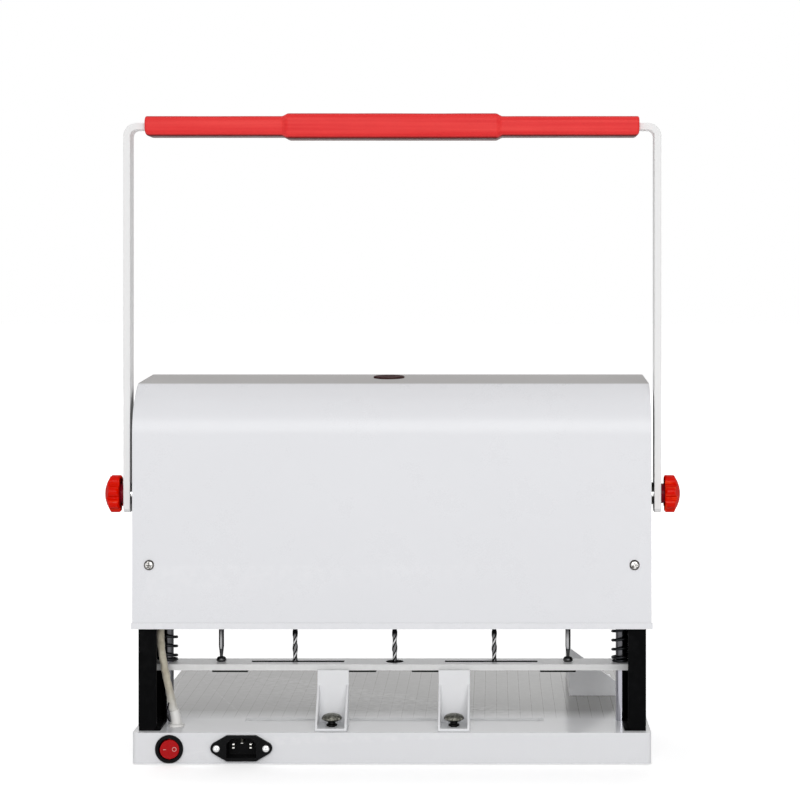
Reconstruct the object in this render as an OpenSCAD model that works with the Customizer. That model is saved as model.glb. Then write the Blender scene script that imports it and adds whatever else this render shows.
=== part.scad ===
// Three-hole paper drilling machine: a lever lowers a head with three motor drills onto a flat base.
// Millimetres. The rear, with inlet and switch, faces -Y. The operator stands at +Y. +Z is up.

/* [Overall] */
// Width of the head
head_w = 421; // [400:1:460]
// Depth of the base
base_d = 300; // [280:1:360]
// Height of the working surface above the desk
base_h = 26; // [25:0.5:34]
// How far the rubber feet stand below the base
foot_h = 1; // [1:0.25:3]
// Sheet thickness of the base tray
tray_t = 1.5; // [1:0.25:2]
// How much wider the head is than the base, over both sides
head_over = 0; // [0:0.5:4]

/* [Head covers] */
// Depth of the head
head_d = 150; // [145:1:165]
// Height of the head from its lower edge to the centre of its rear bend
wall_h = 157; // [155:1:180]
// Outer radius of the rear bend
bend_r = 43; // [36:1:46]
// Outer radius of the front bend
front_bend_r = 56; // [44:1:60]
// How far the flat roof cuts below the tops of both bends, which leaves a crease along each
roof_cut = 1.5; // [0.5:0.1:3]
// Rise of the roof from the rear bend to the front bend
roof_rise = 2.5; // [0:0.5:6]
// Sheet thickness of the covers
cover_t = 1.2; // [1:0.1:1.6]
// Height of the hem along the lower edge of the rear cover
hem_h = 5; // [3:0.5:8]
// Thickness of that hem
hem_t = 0.6; // [0.4:0.1:1]
// Height of the rear cover screws above the lower edge
cover_screw_up = 52; // [40:1:70]
// Diameter of the blank round plate on the roof
badge_d = 26; // [16:1:40]

/* [Stroke] */
// Travel of the head
travel = 42; // [40:0.5:46]
// How far paper can lift the press bar against its springs
bar_lift = 30; // [24:1:36]
// How deep the drill tips end below the working surface
bite = 0.2; // [0.2:0.1:0.8]

/* [Press bar] */
// Thickness of the press bar
bar_t = 5; // [4:0.5:7]
// Depth of the press bar
bar_depth = 27; // [24:1:30]
// Thickness of the rubber strips under the bar
strip_t = 1.5; // [0.8:0.1:2]
// Diameter of the clearance hole for the middle drill
bar_hole_d = 14.6; // [10:0.2:18]
// Distance of the hanger pins from the middle
pin_x = 144.5; // [143.5:0.5:148]
// Diameter of the hanger pins
pin_d = 4.4; // [4:0.1:5]
// Wire of the press springs
press_wire = 2.4; // [2:0.1:2.6]
// Outer diameter of the press springs
press_od = 17.5; // [16.5:0.1:18]
// Pitch of the press springs
press_pitch = 7.7; // [5.5:0.1:9]

/* [Drills] */
// Diameter of the drills
drill_d = 4.5; // [3:0.1:5.5]
// Spacing of the drills
drill_pitch = 83; // [81:0.5:86]
// How far an outer drill can be set towards the middle
unit_in = 38; // [20:1:38]
// How far an outer drill can be set away from the middle
unit_out = 33; // [20:1:33]
// Drill line behind the rear edge of the base
drill_line = 49.5; // [48.5:0.5:51]
// Diameter of the drill motors
motor_d = 36; // [30:1:38]
// Height of the drill motors
motor_h = 58; // [50:1:60]
// Diameter of the chucks
chuck_d = 15; // [12:0.5:18]
// Lead of the drill flutes
flute_lead = 24; // [14:1:30]

/* [Columns and rods] */
// Gap between the columns and the sides of the head
col_gap = 3.9; // [3.7:0.1:4.6]
// Width of the column flanges
col_w = 14.6; // [14:0.2:15.2]
// Sheet thickness of the columns
col_t = 2; // [1.5:0.25:2.5]
// Rear face of the columns from the rear edge of the base
col_back = 7.5; // [6:0.5:8]
// Depth of the columns
col_depth = 68; // [67:0.5:70]
// Diameter of the guide rods
rod_d = 10; // [8:0.5:11]
// Centre of the guide rods inward from the column's outer face
rod_in = 17.4; // [16.9:0.1:17.8]

/* [Lever] */
// Pivot of the lever above the head's lower edge
pivot_up = 108.5; // [106:0.5:112]
// Reach of the lever from its pivot to the middle of the grip
reach = 299.5; // [240:0.5:340]
// Thickness of the lever's flat bar
arm_t = 5.6; // [4:0.2:6]
// Width of the lever's flat bar
arm_w = 18; // [18:1:24]
// Gap between the head and the lever
arm_gap = 2.8; // [2.4:0.2:6]
// Length of the lever below its pivot
arm_tail = 15; // [13:0.5:18]
// Length of the grip
grip_len = 402; // [300:2:404]
// Height of the grip at its ends
grip_h = 16.5; // [14:0.5:20]
// Depth of the grip at its ends
grip_depth = 29; // [27:0.5:32]
// Length of the grip's thicker middle
grip_mid = 168; // [100:2:220]
// How much the middle of the grip is thicker all round
grip_swell = 2.2; // [1:0.2:4]
// Diameter of the star knobs
knob_d = 31; // [26:0.5:36]
// Height of the star knobs
knob_h = 16; // [13:0.2:20]

/* [Drive] */
// Tooth module of the drive
gear_m = 2; // [1.9:0.05:2.05]
// Width of the toothed faces
gear_face = 8; // [6:0.5:8.5]
// Diameter of the cross shaft
shaft_d = 12; // [10:0.5:13]
// Diameter of the idler pins
idler_pin_d = 8; // [6:0.5:9]

/* [Paper gauges] */
// Distance of the paper stops from the middle
stop_x = 50; // [40:1:56]
// Width of the paper stops
stop_w = 26; // [24:1:30]
// Height of the paper stops above the surface
stop_h = 45; // [36:0.5:46]
// Sheet thickness of stops and side gauge
gauge_t = 2; // [1.5:0.25:2.5]
// Inner face of the side gauge from the right edge of the base
gauge_in = 61.5; // [54:0.5:70]
// Width of the side gauge
gauge_w = 41; // [30:1:44]
// Length of the side gauge
gauge_len = 90; // [80:2:140]
// Height of the side gauge above the surface
gauge_h = 41; // [24:1:41]

/* [Inlet and switch] */
// Centre of the mains inlet from the left edge of the base
inlet_in = 88.7; // [75:0.1:110]
// Centre of the power switch from the left edge of the base
switch_in = 30.1; // [28:0.1:45]

/* [Hidden] */
$fn = 64;

// Clearances: between fixed fits, in running fits, and between parts that only pass each other
fit = 0.03;
run = 0.08;
seat_gap = 0.3;

// The origin is at the bottom, in the middle of the whole object. The rocker stands out behind the base.
rear_proud = 4.36;
rear_y = -(base_d - rear_proud) / 2;
front_y = rear_y + base_d;
mid_y = (rear_y + front_y) / 2;
base_w = head_w - head_over;
tray_corner = 4;
floor_t = 1.2;
foot_d = 22;
foot_in = 30;

// Stack of heights
strip_z = base_h + travel + seat_gap;
bar_z = strip_z + strip_t;
bar_top = bar_z + bar_t;
head_gap = 5.2;
head_z = bar_top + bar_lift + head_gap;
plate_up = 30;
plate_t = 4;
plate_z = head_z + plate_up;
plate_top = plate_z + plate_t;
tip_z = base_h + travel - bite;
shaft_z = head_z + pivot_up;
line_y = rear_y + drill_line;

// Column and rod places
col_out = head_w / 2 - col_gap;
col_in = col_out - col_w;
col_y = rear_y + col_back;
col_end = col_y + col_depth;
rod_x = col_out - rod_in;
corner = 5;
foot_screw = 4;
foot_screw_x = col_in + col_w / 2 - 1;
foot_screw_dy = [8, 19];

// Drive: sector on the cross shaft, idler in front of it, rack on the column's front flange
sector_teeth = 28;
idler_teeth = 12;
pressure = 25;
addendum = 0.8 * gear_m;
dedendum = 1.05 * gear_m;
thin = 0.15;
sector_r = gear_m * sector_teeth / 2;
idler_r = gear_m * idler_teeth / 2;
rack_back = 3.4;
rack_y = col_end - col_t - rack_back - dedendum;
idler_y = rack_y - idler_r;
shaft_y = idler_y - idler_r - sector_r;
gear_out = col_out - col_t - 1.6;
gear_in = gear_out - gear_face;
tooth_step = PI * gear_m;
rack_low = shaft_z - 9.5 * tooth_step;
rack_high = shaft_z + 2.5 * tooth_step;
col_top = rack_high + 3;
rear_top = shaft_z - travel - sector_r - addendum - 3;
first_tooth = -1;
last_tooth = 8;

// Head sheet metal
panel_t = 1.5;
panel_out = head_w / 2 - 0.2;
panel_in = panel_out - panel_t;
hem_half = head_w / 2 + 0.9;
cover_screw = 4;
cover_screw_x = head_w / 2 - 13.8;
cover_screw_z = head_z + cover_screw_up;
cover_screw_dy = [16, 46];
screw_up = 8;
bend_z = head_z + wall_h;
bend_y = rear_y + bend_r;
front_bend_y = rear_y + head_d - front_bend_r;
roof_slope = atan(roof_rise / (front_bend_y - bend_y));
function roof_z(y) = bend_z + bend_r - roof_cut + (y - bend_y) * tan(roof_slope);
front_bend_z = roof_z(front_bend_y) + roof_cut - front_bend_r;
seam_y = front_bend_y;
badge_x = -6;
cheek_in = rod_x - rod_d / 2 - 9.2;
cheek_t = 3;
cheek_out = cheek_in + cheek_t;
flange_w = 20;
ear_half = 9.6;
ear_out = rod_x + 11;
plate_front_y = col_end + 6;
plate_end_y = rear_y + head_d - cover_t - 2.5;

// Lever places
arm_in = head_w / 2 + arm_gap;
arm_out = arm_in + arm_t;
bar_mid_z = shaft_z + reach;
bend_in = 5;
shaft_end = arm_out + 9;

// Drill units
slot_end = 3;
stem_d = 6;
flange_half = 22;
motor_flange_t = 3;
chuck_top = plate_z - 0.6;
chuck_h = 21.5;
chuck_z = chuck_top - chuck_h;
pad_len = 2 * (drill_pitch + unit_out + 8);
pad_w = 12;
pad_flange = 5;
pad_under = 4;

// Rods and springs
bush_od = rod_d + 8;
bush_low = plate_z - 4;
bush_high = plate_top + 12;
rod_top = bush_high + 4;
rod_low = base_h - tray_t - 9;
return_x = pin_x + 5.5;
return_y = col_end + 16.5;
return_wire = 1.6;
return_r = 5.2;
return_pitch = 6;
tie_t = 3;
tie_h = 32;
tie_high = col_top - 2;
tie_low = tie_high - tie_h;
shelf_half = 9;
shelf_end = 10;
tie_bolt = 5;
tie_bolt_x = col_in + 4;
tie_bolt_z = [tie_low + 6, tie_high - 6];

// Paper gauges
stop_in = 6;
stop_deep = 27;
stop_lip = 5;
stop_y = rear_y + stop_in;
stop_front = stop_y + stop_deep;
stop_screw_y = stop_y + 11;
stop_screw_d = 5;
thumb_r = 8.3;
gauge_x = base_w / 2 - gauge_in;
gauge_y = rear_y + head_d;
gauge_low = gauge_h * 0.32;
magnet_d = 14;
magnet_in = 24;

// Supply board inside the base
board_w = 120;
board_deep = 70;
board_t = 1.6;
board_up = 4;
board_in = 120;
board_high = 13;
post_d = 6;
can_d = 12;

// Inlet and switch
inlet_x = -base_w / 2 + inlet_in;
switch_x = -base_w / 2 + switch_in;
inlet_z = 13.8;
inlet_h = 20.8;
inlet_pitch = 40;
inlet_tip_r = 5;
inlet_body_w = 27.2;
inlet_body_h = 19.4;
inlet_deep = 22;
inlet_screw = 3;
socket_deep = 15.5;
blade_long = 9.5;
blade_w = 2;
blade_t = 4;
blade_back = -26;
blade_places = [[-7, 0.6], [7, 0.6], [0, 4.6]];
flange_t = 2.6;
switch_z = 12.9;
bezel_d = 22.8;
bezel_t = 2;
bezel_body_d = 20;
bezel_deep = 18;
pivot_d = 2.4;
pivot_len = 18.4;
rocker_d = 15.4;
rocker_tilt = 8;
rocker_pivot = 2;

// Route of the wire sleeve: points chosen by hand, relative to the left rear corner of the surface
sleeve_d = 6;
sleeve_sides = 10;
grommet_d = 9;
sleeve_corner = [-base_w / 2, rear_y, base_h];
sleeve_route = [
    [32, 26, 0], [31.8, 26, 5], [30.8, 26, 10.5], [29, 26, 16], [27.1, 25.7, 25], [25.2, 25.3, 34.5],
    [23.2, 25, 44.5], [21.2, 24.7, 54.5], [19.6, 24.7, 66], [19, 25, 80], [20, 26, 96], [22, 27.5, 108],
    [24, 29, plate_top + 12 - base_h], [24, 29, plate_top + 28 - base_h]
];

function arc_in(a) = tan(a) * 180 / PI - a;
function lift_at(points, at) = [for (p = points) p + at];

// Points of one tooth at angle mid on a gear of pitch radius r, by the involute of a circle
function flank_half(r, teeth, at) =
    90 / teeth - thin / r * 180 / PI + arc_in(pressure) - arc_in(acos(min(1, r * cos(pressure) / at)));
function tooth(r, teeth, mid) = let (
    low = r - dedendum,
    start = max(low, r * cos(pressure)),
    top = r + addendum,
    steps = 4,
    radii = [for (i = [0:steps]) start + (top - start) * i / steps],
    half = [for (q = radii) flank_half(r, teeth, q)],
    rise = [for (i = [0:steps]) radii[i] * [cos(mid - half[i]), sin(mid - half[i])]],
    fall = [for (i = [steps:-1:0]) radii[i] * [cos(mid + half[i]), sin(mid + half[i])]],
    foot = half[0]
) concat(
    [low * [cos(mid - foot), sin(mid - foot)]], rise, fall, [low * [cos(mid + foot), sin(mid + foot)]]
);
function gear_points(r, teeth, phase) =
    [for (k = [0:teeth - 1]) each tooth(r, teeth, phase + k * 360 / teeth)];

// Centre line of a wound spring on the Z axis, its ends straight up and down for one wire
function coil_line(r, wire, pitch, length) = let (
    rise = length - 3 * wire,
    turns = round(rise / pitch),
    count = turns * 8
) concat(
    [[r, 0, 0], [r, 0, wire]],
    [for (i = [0:count]) [r * cos(i * 45), r * sin(i * 45), 1.5 * wire + rise * i / count]],
    [[r, 0, length - wire], [r, 0, length]]
);
function coil_gap(line, wire) = min([
    for (i = [0:len(line) - 1]) for (j = [i + 5:1:len(line) - 1]) norm(line[i] - line[j])
]) - wire;
function unit(v) = v / norm(v);
function along(line, i) = unit(line[min(i + 1, len(line) - 1)] - line[max(i - 1, 0)]);
function out_of(p) = unit([p[0], p[1], 0]);
function coil_ring(line, i, wire, sides) = let (a = out_of(line[i]), b = cross(along(line, i), a))
    [for (k = [0:sides - 1]) line[i] + wire / 2 * (cos(k * 360 / sides) * a + sin(k * 360 / sides) * b)];
function tube_ring(line, i, d, sides) = let (
    t = along(line, i),
    a = unit(cross([0, 1, 0], t)),
    b = cross(t, a)
) [for (k = [0:sides - 1]) line[i] + d / 2 * (cos(k * 360 / sides) * a + sin(k * 360 / sides) * b)];
function wall_faces(rings, sides) = [
    for (i = [0:rings - 2]) for (k = [0:sides - 1]) let (
        n = (k + 1) % sides, p = i * sides + k, q = i * sides + n, r = p + sides, s = q + sides
    ) each [[p, r, q], [q, r, s]]
];
function cap_faces(rings, sides) = [
    for (k = [1:sides - 2]) each [[0, k, k + 1], [(rings - 1) * sides, (rings - 1) * sides + k + 1,
        (rings - 1) * sides + k]]
];

press_len = bush_low - bar_top;
return_len = tie_high - tie_t - plate_top;
press_line = coil_line((press_od - press_wire) / 2, press_wire, press_pitch, press_len);
return_line = coil_line(return_r, return_wire, return_pitch, return_len);
echo(press_spring_gap = coil_gap(press_line, press_wire));
echo(return_spring_gap = coil_gap(return_line, return_wire));

// Shared shapes
module block(low, high) {
    translate(low) cube(high - low);
}
module x_rod(d, x0, x1, y, z) {
    translate([x0, y, z]) rotate([0, 90, 0]) cylinder(d = d, h = x1 - x0);
}
module y_rod(d, y0, y1, x, z) {
    translate([x, y0, z]) rotate([-90, 0, 0]) cylinder(d = d, h = y1 - y0);
}
module z_rod(d, z0, z1, x, y) {
    translate([x, y, z0]) cylinder(d = d, h = z1 - z0);
}
module on_side(side) {
    if (side > 0) children();
    else mirror([1, 0, 0]) children();
}
module both_sides() {
    for (side = [-1, 1]) on_side(side) children();
}
// Extrudes a shape drawn in Y and Z along X
module along_x(x0, x1) {
    translate([x0, 0, 0]) rotate([90, 0, 90]) linear_extrude(x1 - x0) children();
}
module rounded(w, h, r) {
    square([w - 2 * r, h], center = true);
    square([w, h - 2 * r], center = true);
    for (i = [-1, 1]) for (j = [-1, 1]) translate([i * (w / 2 - r), j * (h / 2 - r)]) circle(r);
}
module hex_nut(across, bore, h) {
    difference() {
        cylinder(d = across / cos(30), h = h, $fn = 6);
        translate([0, 0, -1]) cylinder(d = bore, h = h + 2);
    }
}
// Domed screw with a cross recess: the head is above Z = 0, the shank below
module pan_screw(head, high, shank, long) {
    difference() {
        rotate_extrude() polygon([
            [0, -long], [shank / 2, -long], [shank / 2, 0], [head / 2, 0], [head / 2, high * 0.35],
            [head * 0.43, high * 0.72], [head * 0.3, high * 0.93], [0, high]
        ]);
        for (a = [0, 90]) rotate(a) translate([0, 0, high * 0.8])
            cube([head * 0.56, head * 0.13, high], center = true);
    }
}
module gear_face_2d(r, teeth, phase) {
    polygon(gear_points(r, teeth, phase));
}
module spring(line, wire) {
    sides = 6;
    rings = len(line);
    polyhedron(
        [for (i = [0:rings - 1]) each coil_ring(line, i, wire, sides)],
        concat(wall_faces(rings, sides), cap_faces(rings, sides))
    );
}

// Base
module tray_floor(inset) {
    translate([0, mid_y]) rounded(base_w - 2 * inset, base_d - 2 * inset, tray_corner - inset);
}
module foot_screw_places() {
    both_sides() for (dy = foot_screw_dy) translate([foot_screw_x, col_y + dy, 0]) children();
}
module base_tray() {
    color("whitesmoke") difference() {
        translate([0, 0, foot_h]) linear_extrude(base_h - foot_h) tray_floor(0);
        translate([0, 0, foot_h - 1]) linear_extrude(base_h - tray_t - foot_h + 1) tray_floor(tray_t);
        both_sides() z_rod(rod_d + 2 * fit, 0, base_h + 1, rod_x, line_y);
        both_sides() z_rod(stop_screw_d + 2 * run, 0, base_h + 1, stop_x, stop_screw_y);
        foot_screw_places() z_rod(foot_screw + 2 * fit, 0, base_h + 1, 0, 0);
        translate([0, line_y, base_h - tray_t / 2]) linear_extrude(tray_t * 2, center = true)
            square([pad_len, pad_w + 2 * fit], center = true);
        translate(sleeve_corner + sleeve_route[0]) cylinder(d = grommet_d + 2 * fit, h = 8, center = true);
        y_rod(bezel_body_d + 2 * fit, rear_y - 1, rear_y + tray_t + 1, switch_x, switch_z);
        translate([inlet_x, rear_y, inlet_z]) rotate([90, 0, 0]) linear_extrude(8, center = true)
            rounded(inlet_body_w + 2 * fit, inlet_body_h + 2 * fit, 2);
        for (i = [-1, 1])
            y_rod(inlet_screw + 2 * fit, rear_y - 1, rear_y + 4, inlet_x + i * inlet_pitch / 2, inlet_z);
    }
}
module bottom_plate() {
    color("silver") translate([0, 0, foot_h]) linear_extrude(floor_t) tray_floor(tray_t + 0.2);
}
module rubber_feet() {
    color("#222222") for (i = [-1, 1]) for (j = [-1, 1])
        z_rod(foot_d, 0, foot_h, i * (base_w / 2 - foot_in), mid_y + j * (base_d / 2 - foot_in));
}
module drill_pad() {
    low = base_h - tray_t - pad_under;
    color("ivory") difference() {
        union() {
            translate([0, line_y, low]) linear_extrude(base_h - low)
                square([pad_len - 0.1, pad_w], center = true);
            translate([0, line_y, low]) linear_extrude(pad_under)
                square([pad_len + 2 * pad_flange, pad_w + 2 * pad_flange], center = true);
        }
        translate([0, line_y, base_h]) cube([pad_len - 6, drill_d + 1.5, 4 * bite], center = true);
    }
}
module column(side) {
    color("#17181a") on_side(side) difference() {
        union() {
            translate([0, col_y + col_t, 0]) rotate([90, 0, 0]) linear_extrude(col_t) {
                translate([col_in, base_h + corner]) square([col_w, rear_top - base_h - corner]);
                translate([col_in + corner, base_h]) square([col_w - 2 * corner, corner]);
                for (x = [col_in + corner, col_out - corner]) translate([x, base_h + corner]) circle(corner);
            }
            along_x(col_out - col_t, col_out) polygon([
                [col_y + col_t, base_h], [col_end, base_h], [col_end, col_top], [idler_y - 6, col_top],
                [idler_y - 6, rear_top], [col_y, rear_top], [col_y, base_h + corner],
                [col_y + col_t, base_h + corner]
            ]);
            block([col_in, col_end - col_t, base_h], [col_out, col_end, col_top]);
            block([col_in - 3, col_y + col_t + 1, base_h],
                [col_out - col_t / 2, line_y - bar_depth / 2 - 1, base_h + col_t]);
        }
        for (dy = foot_screw_dy)
            z_rod(foot_screw + 2 * fit, base_h - 1, base_h + col_t + 1, foot_screw_x, col_y + dy);
        for (z = tie_bolt_z) y_rod(tie_bolt + 2 * fit, col_end - col_t - 1, col_end + 1, tie_bolt_x, z);
    }
}
module left_column() {
    column(-1);
}
module right_column() {
    column(1);
}
module racks() {
    half = tooth_step / 4 - thin;
    lean = tan(pressure);
    tip_half = half - addendum * lean;
    root_half = half + dedendum * lean;
    root_y = rack_y + dedendum;
    color("dimgray") both_sides() along_x(gear_in, gear_out) {
        translate([root_y, rack_low]) square([rack_back, rack_high - rack_low]);
        for (k = [-9:2]) translate([0, shaft_z + k * tooth_step]) polygon([
            [root_y + 0.1, -root_half], [root_y, -root_half], [rack_y - addendum, -tip_half],
            [rack_y - addendum, tip_half], [root_y, root_half], [root_y + 0.1, root_half]
        ]);
    }
}
module guide_rods() {
    color("gainsboro") both_sides() translate([rod_x, line_y, 0]) rotate_extrude() polygon([
        [0, rod_low], [rod_d / 2 - 0.8, rod_low], [rod_d / 2, rod_low + 0.8], [rod_d / 2, rod_top - 1],
        [rod_d / 2 - 1, rod_top], [0, rod_top]
    ]);
}
module rod_nuts() {
    color("silver") both_sides() translate([rod_x, line_y, base_h - tray_t - 6])
        hex_nut(rod_d + 7, rod_d + 2 * fit, 6);
}
module tie_bar() {
    color("dimgray") difference() {
        union() {
            block([-col_out, col_end, tie_low], [col_out, col_end + tie_t, tie_high]);
            both_sides() block([return_x - shelf_half, col_end + tie_t - 1, tie_high - tie_t],
                [return_x + shelf_half, return_y + shelf_end, tie_high]);
        }
        both_sides() for (z = tie_bolt_z)
            y_rod(tie_bolt + 2 * fit, col_end - 1, col_end + tie_t + 1, tie_bolt_x, z);
    }
}
module column_screws() {
    color("silver") foot_screw_places() translate([0, 0, base_h + col_t])
        pan_screw(7.5, 2.2, foot_screw, 9);
    color("silver") both_sides() for (z = tie_bolt_z)
        translate([tie_bolt_x, col_end + tie_t, z]) rotate([-90, 0, 0])
            pan_screw(8, 2.4, tie_bolt, tie_t + col_t - 0.2);
}

// Inlet and switch
module inlet_flange() {
    rise = inlet_h / 2;
    tip = [for (a = [60:-12:-60]) [inlet_pitch / 2 + inlet_tip_r * cos(a), inlet_tip_r * sin(a)]];
    shoulder = tip[0][0] - (rise - tip[0][1]) / tan(30);
    half = concat([[shoulder, rise]], tip, [[shoulder, -rise]]);
    polygon(concat(half, [for (p = half) -p]));
}
module socket_mouth() {
    polygon([[-12, -8], [12, -8], [12, 3.5], [7.5, 8], [-7.5, 8], [-12, 3.5]]);
}
module at_inlet() {
    translate([inlet_x, rear_y, inlet_z]) rotate([90, 0, 0]) children();
}
module blade(place, z0, z1, grow) {
    half = [blade_w / 2 + grow, blade_t / 2 + grow];
    block([place[0] - half[0], place[1] - half[1], z0], [place[0] + half[0], place[1] + half[1], z1]);
}
module inlet_housing() {
    color("#1b1b1d") at_inlet() difference() {
        union() {
            linear_extrude(flange_t) inlet_flange();
            translate([0, 0, -inlet_deep]) linear_extrude(inlet_deep + flange_t)
                rounded(inlet_body_w, inlet_body_h, 2);
        }
        translate([0, 0, flange_t - socket_deep]) linear_extrude(socket_deep + 1) socket_mouth();
        for (i = [-1, 1]) translate([i * inlet_pitch / 2, 0, -1])
            cylinder(d = inlet_screw + 2 * fit, h = flange_t + 2);
        for (p = blade_places) blade(p, -inlet_deep - 1, 0, fit);
    }
}
module inlet_blades() {
    tip = flange_t - socket_deep + blade_long;
    color("gold") at_inlet() for (p = blade_places) blade(p, blade_back, tip, 0);
}
module inlet_screws() {
    color("silver") at_inlet() for (i = [-1, 1])
        translate([i * inlet_pitch / 2, 0, flange_t]) pan_screw(6, 1.8, inlet_screw, 8);
}
module at_switch() {
    translate([switch_x, rear_y, switch_z]) rotate([90, 0, 0]) children();
}
module switch_bezel() {
    color("#1b1b1d") at_switch() difference() {
        union() {
            rotate_extrude() polygon([
                [0, 0], [bezel_d / 2, 0], [bezel_d / 2, bezel_t - 0.8], [bezel_d / 2 - 0.8, bezel_t],
                [0, bezel_t]
            ]);
            translate([0, 0, -bezel_deep]) cylinder(d = bezel_body_d, h = bezel_deep + 1);
        }
        translate([0, 0, -8]) cylinder(d = rocker_d + 2, h = 20);
        translate([0, 0, -rocker_pivot]) rotate([90, 0, 0])
            cylinder(d = pivot_d + 2 * run, h = pivot_len + 0.8, center = true);
    }
}
module rocker() {
    half = rocker_d / 2;
    rise = half * tan(rocker_tilt);
    crown = 3.6;
    color("#c8141a") at_switch() translate([0, 0, -rocker_pivot]) rotate([0, rocker_tilt, 0]) {
        intersection() {
            translate([0, 0, -4]) cylinder(d = rocker_d, h = 14);
            rotate([90, 0, 0]) linear_extrude(rocker_d + 2, center = true) polygon([
                [-half - 1, -3], [half + 1, -3], [half + 1, crown + rise], [0, crown],
                [-half - 1, crown + rise]
            ]);
        }
        rotate([90, 0, 0]) cylinder(d = pivot_d, h = pivot_len, center = true);
    }
}
module power_board() {
    low = foot_h + floor_t;
    under = low + board_up;
    top = under + board_t;
    sink = 0.1;
    half = [board_w, board_deep] / 2;
    color("darkgreen") translate([0, rear_y + board_in, 0]) {
        for (i = [-1, 1]) for (j = [-1, 1])
            z_rod(post_d, low, under + sink, i * (half[0] - post_d), j * (half[1] - post_d));
        block([-half[0], -half[1], under], [half[0], half[1], top]);
        block([-0.8 * half[0], -0.8 * half[1], top - sink],
            [-0.3 * half[0], 0.1 * half[1], top + board_high]);
        for (i = [0, 1.3]) z_rod(can_d, top - sink, top + board_high * 0.9, i * can_d, -can_d);
        block([0.6 * half[0], -0.6 * half[1], top - sink],
            [0.9 * half[0], 0.6 * half[1], top + board_high * 0.7]);
    }
}

// Wire sleeve between base and head
module sleeve_grommet() {
    color("white") translate(sleeve_corner + sleeve_route[0]) difference() {
        rotate_extrude() polygon([
            [0, -tray_t - 2.5], [grommet_d / 2 + 1.2, -tray_t - 2.5], [grommet_d / 2 + 1.2, -tray_t],
            [grommet_d / 2, -tray_t], [grommet_d / 2, 0], [grommet_d / 2 + 2.2, 0],
            [grommet_d / 2 + 1.6, 1.6], [grommet_d / 2 - 0.5, 3], [0, 3]
        ]);
        translate([0, 0, -0.01]) cylinder(d = sleeve_d + 2 * run, h = 8);
        translate([0, 0, -8]) cylinder(d = sleeve_d - 2, h = 16);
    }
}
module wire_sleeve() {
    line = lift_at(sleeve_route, sleeve_corner);
    rings = len(line);
    color("#cfc8b0") polyhedron(
        [for (i = [0:rings - 1]) each tube_ring(line, i, sleeve_d, sleeve_sides)],
        concat(wall_faces(rings, sleeve_sides), cap_faces(rings, sleeve_sides))
    );
}

// Head carriage
module carriage_plate() {
    slot_near = drill_pitch - unit_in - stem_d / 2 - 2;
    slot_far = drill_pitch + unit_out + stem_d / 2 + 2;
    rear_edge = rear_y + cover_t + 2.8;
    color("lightgray") difference() {
        union() {
            block([-cheek_out, rear_edge, plate_z], [cheek_out, plate_end_y, plate_top]);
            block([-ear_out, line_y - ear_half, plate_z], [ear_out, line_y + ear_half, plate_top]);
            block([-panel_in, plate_front_y, plate_z], [panel_in, plate_end_y, plate_top]);
            both_sides() block([panel_in - 3, plate_front_y + 6, plate_z],
                [panel_in, plate_end_y, plate_top + 16]);
        }
        both_sides() z_rod(bush_od + 2 * fit, plate_z - 1, plate_top + 1, rod_x, line_y);
        both_sides() z_rod(pin_d + 2 * run, plate_z - 1, plate_top + 1, pin_x, line_y);
        both_sides() block([slot_near, line_y - stem_d / 2 - 2, plate_z - 1],
            [slot_far, line_y + stem_d / 2 + 2, plate_top + 1]);
        z_rod(stem_d + 4, plate_z - 1, plate_top + 1, 0, line_y);
        both_sides() for (dy = cover_screw_dy) x_rod(cover_screw + 2 * fit, panel_in - 4, panel_in + 1,
            plate_front_y + dy, plate_top + screw_up);
    }
}
module frame_plates() {
    high = shaft_z + 22;
    color("lightgray") both_sides() difference() {
        block([cheek_in, rear_y + cover_t + 2.8, plate_top], [cheek_out, idler_y + 14, high]);
        x_rod(shaft_d + 4 + 2 * fit, cheek_in - 1, cheek_out + 1, shaft_y, shaft_z);
        x_rod(idler_pin_d + 2 * fit, cheek_in - 1, cheek_out + 1, idler_y, shaft_z);
    }
}
module rod_bushings() {
    color("goldenrod") both_sides() translate([rod_x, line_y, 0]) difference() {
        union() {
            z_rod(bush_od, bush_low, bush_high, 0, 0);
            z_rod(bush_od + 3, plate_top, plate_top + 2.5, 0, 0);
        }
        z_rod(rod_d + 2 * run, bush_low - 1, bush_high + 1, 0, 0);
    }
}
module shaft_bushes() {
    color("goldenrod") both_sides() difference() {
        union() {
            x_rod(shaft_d + 4, cheek_in - 3, cheek_out + 1, shaft_y, shaft_z);
            x_rod(shaft_d + 7, cheek_in - 3, cheek_in, shaft_y, shaft_z);
        }
        x_rod(shaft_d + 2 * run, cheek_in - 4, cheek_out + 2, shaft_y, shaft_z);
    }
}
module idler_pins() {
    color("silver") both_sides() {
        x_rod(idler_pin_d, cheek_in - 2, gear_out + 1, idler_y, shaft_z);
        x_rod(idler_pin_d + 4, cheek_in - 4, cheek_in, idler_y, shaft_z);
        x_rod(idler_pin_d + 4, cheek_out, gear_in - 0.3, idler_y, shaft_z);
    }
}
module idler(side) {
    color("slategray") on_side(side) difference() {
        translate([0, idler_y, shaft_z]) along_x(gear_in, gear_out)
            gear_face_2d(idler_r, idler_teeth, 180 / idler_teeth);
        x_rod(idler_pin_d + 2 * run, gear_in - 1, gear_out + 1, idler_y, shaft_z);
    }
}
module left_idler() {
    idler(-1);
}
module right_idler() {
    idler(1);
}
module motor(x) {
    color("gray") translate([x, line_y, plate_top]) difference() {
        union() {
            linear_extrude(motor_flange_t) rounded(2 * flange_half, 30, 4);
            cylinder(d = motor_d, h = motor_h - 6);
            cylinder(d = motor_d - 6, h = motor_h - 2);
            cylinder(d = 12, h = motor_h);
        }
        translate([0, 0, -1]) cylinder(d = stem_d + 2 * run, h = 23);
    }
}
module left_motor() {
    motor(-drill_pitch);
}
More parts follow.
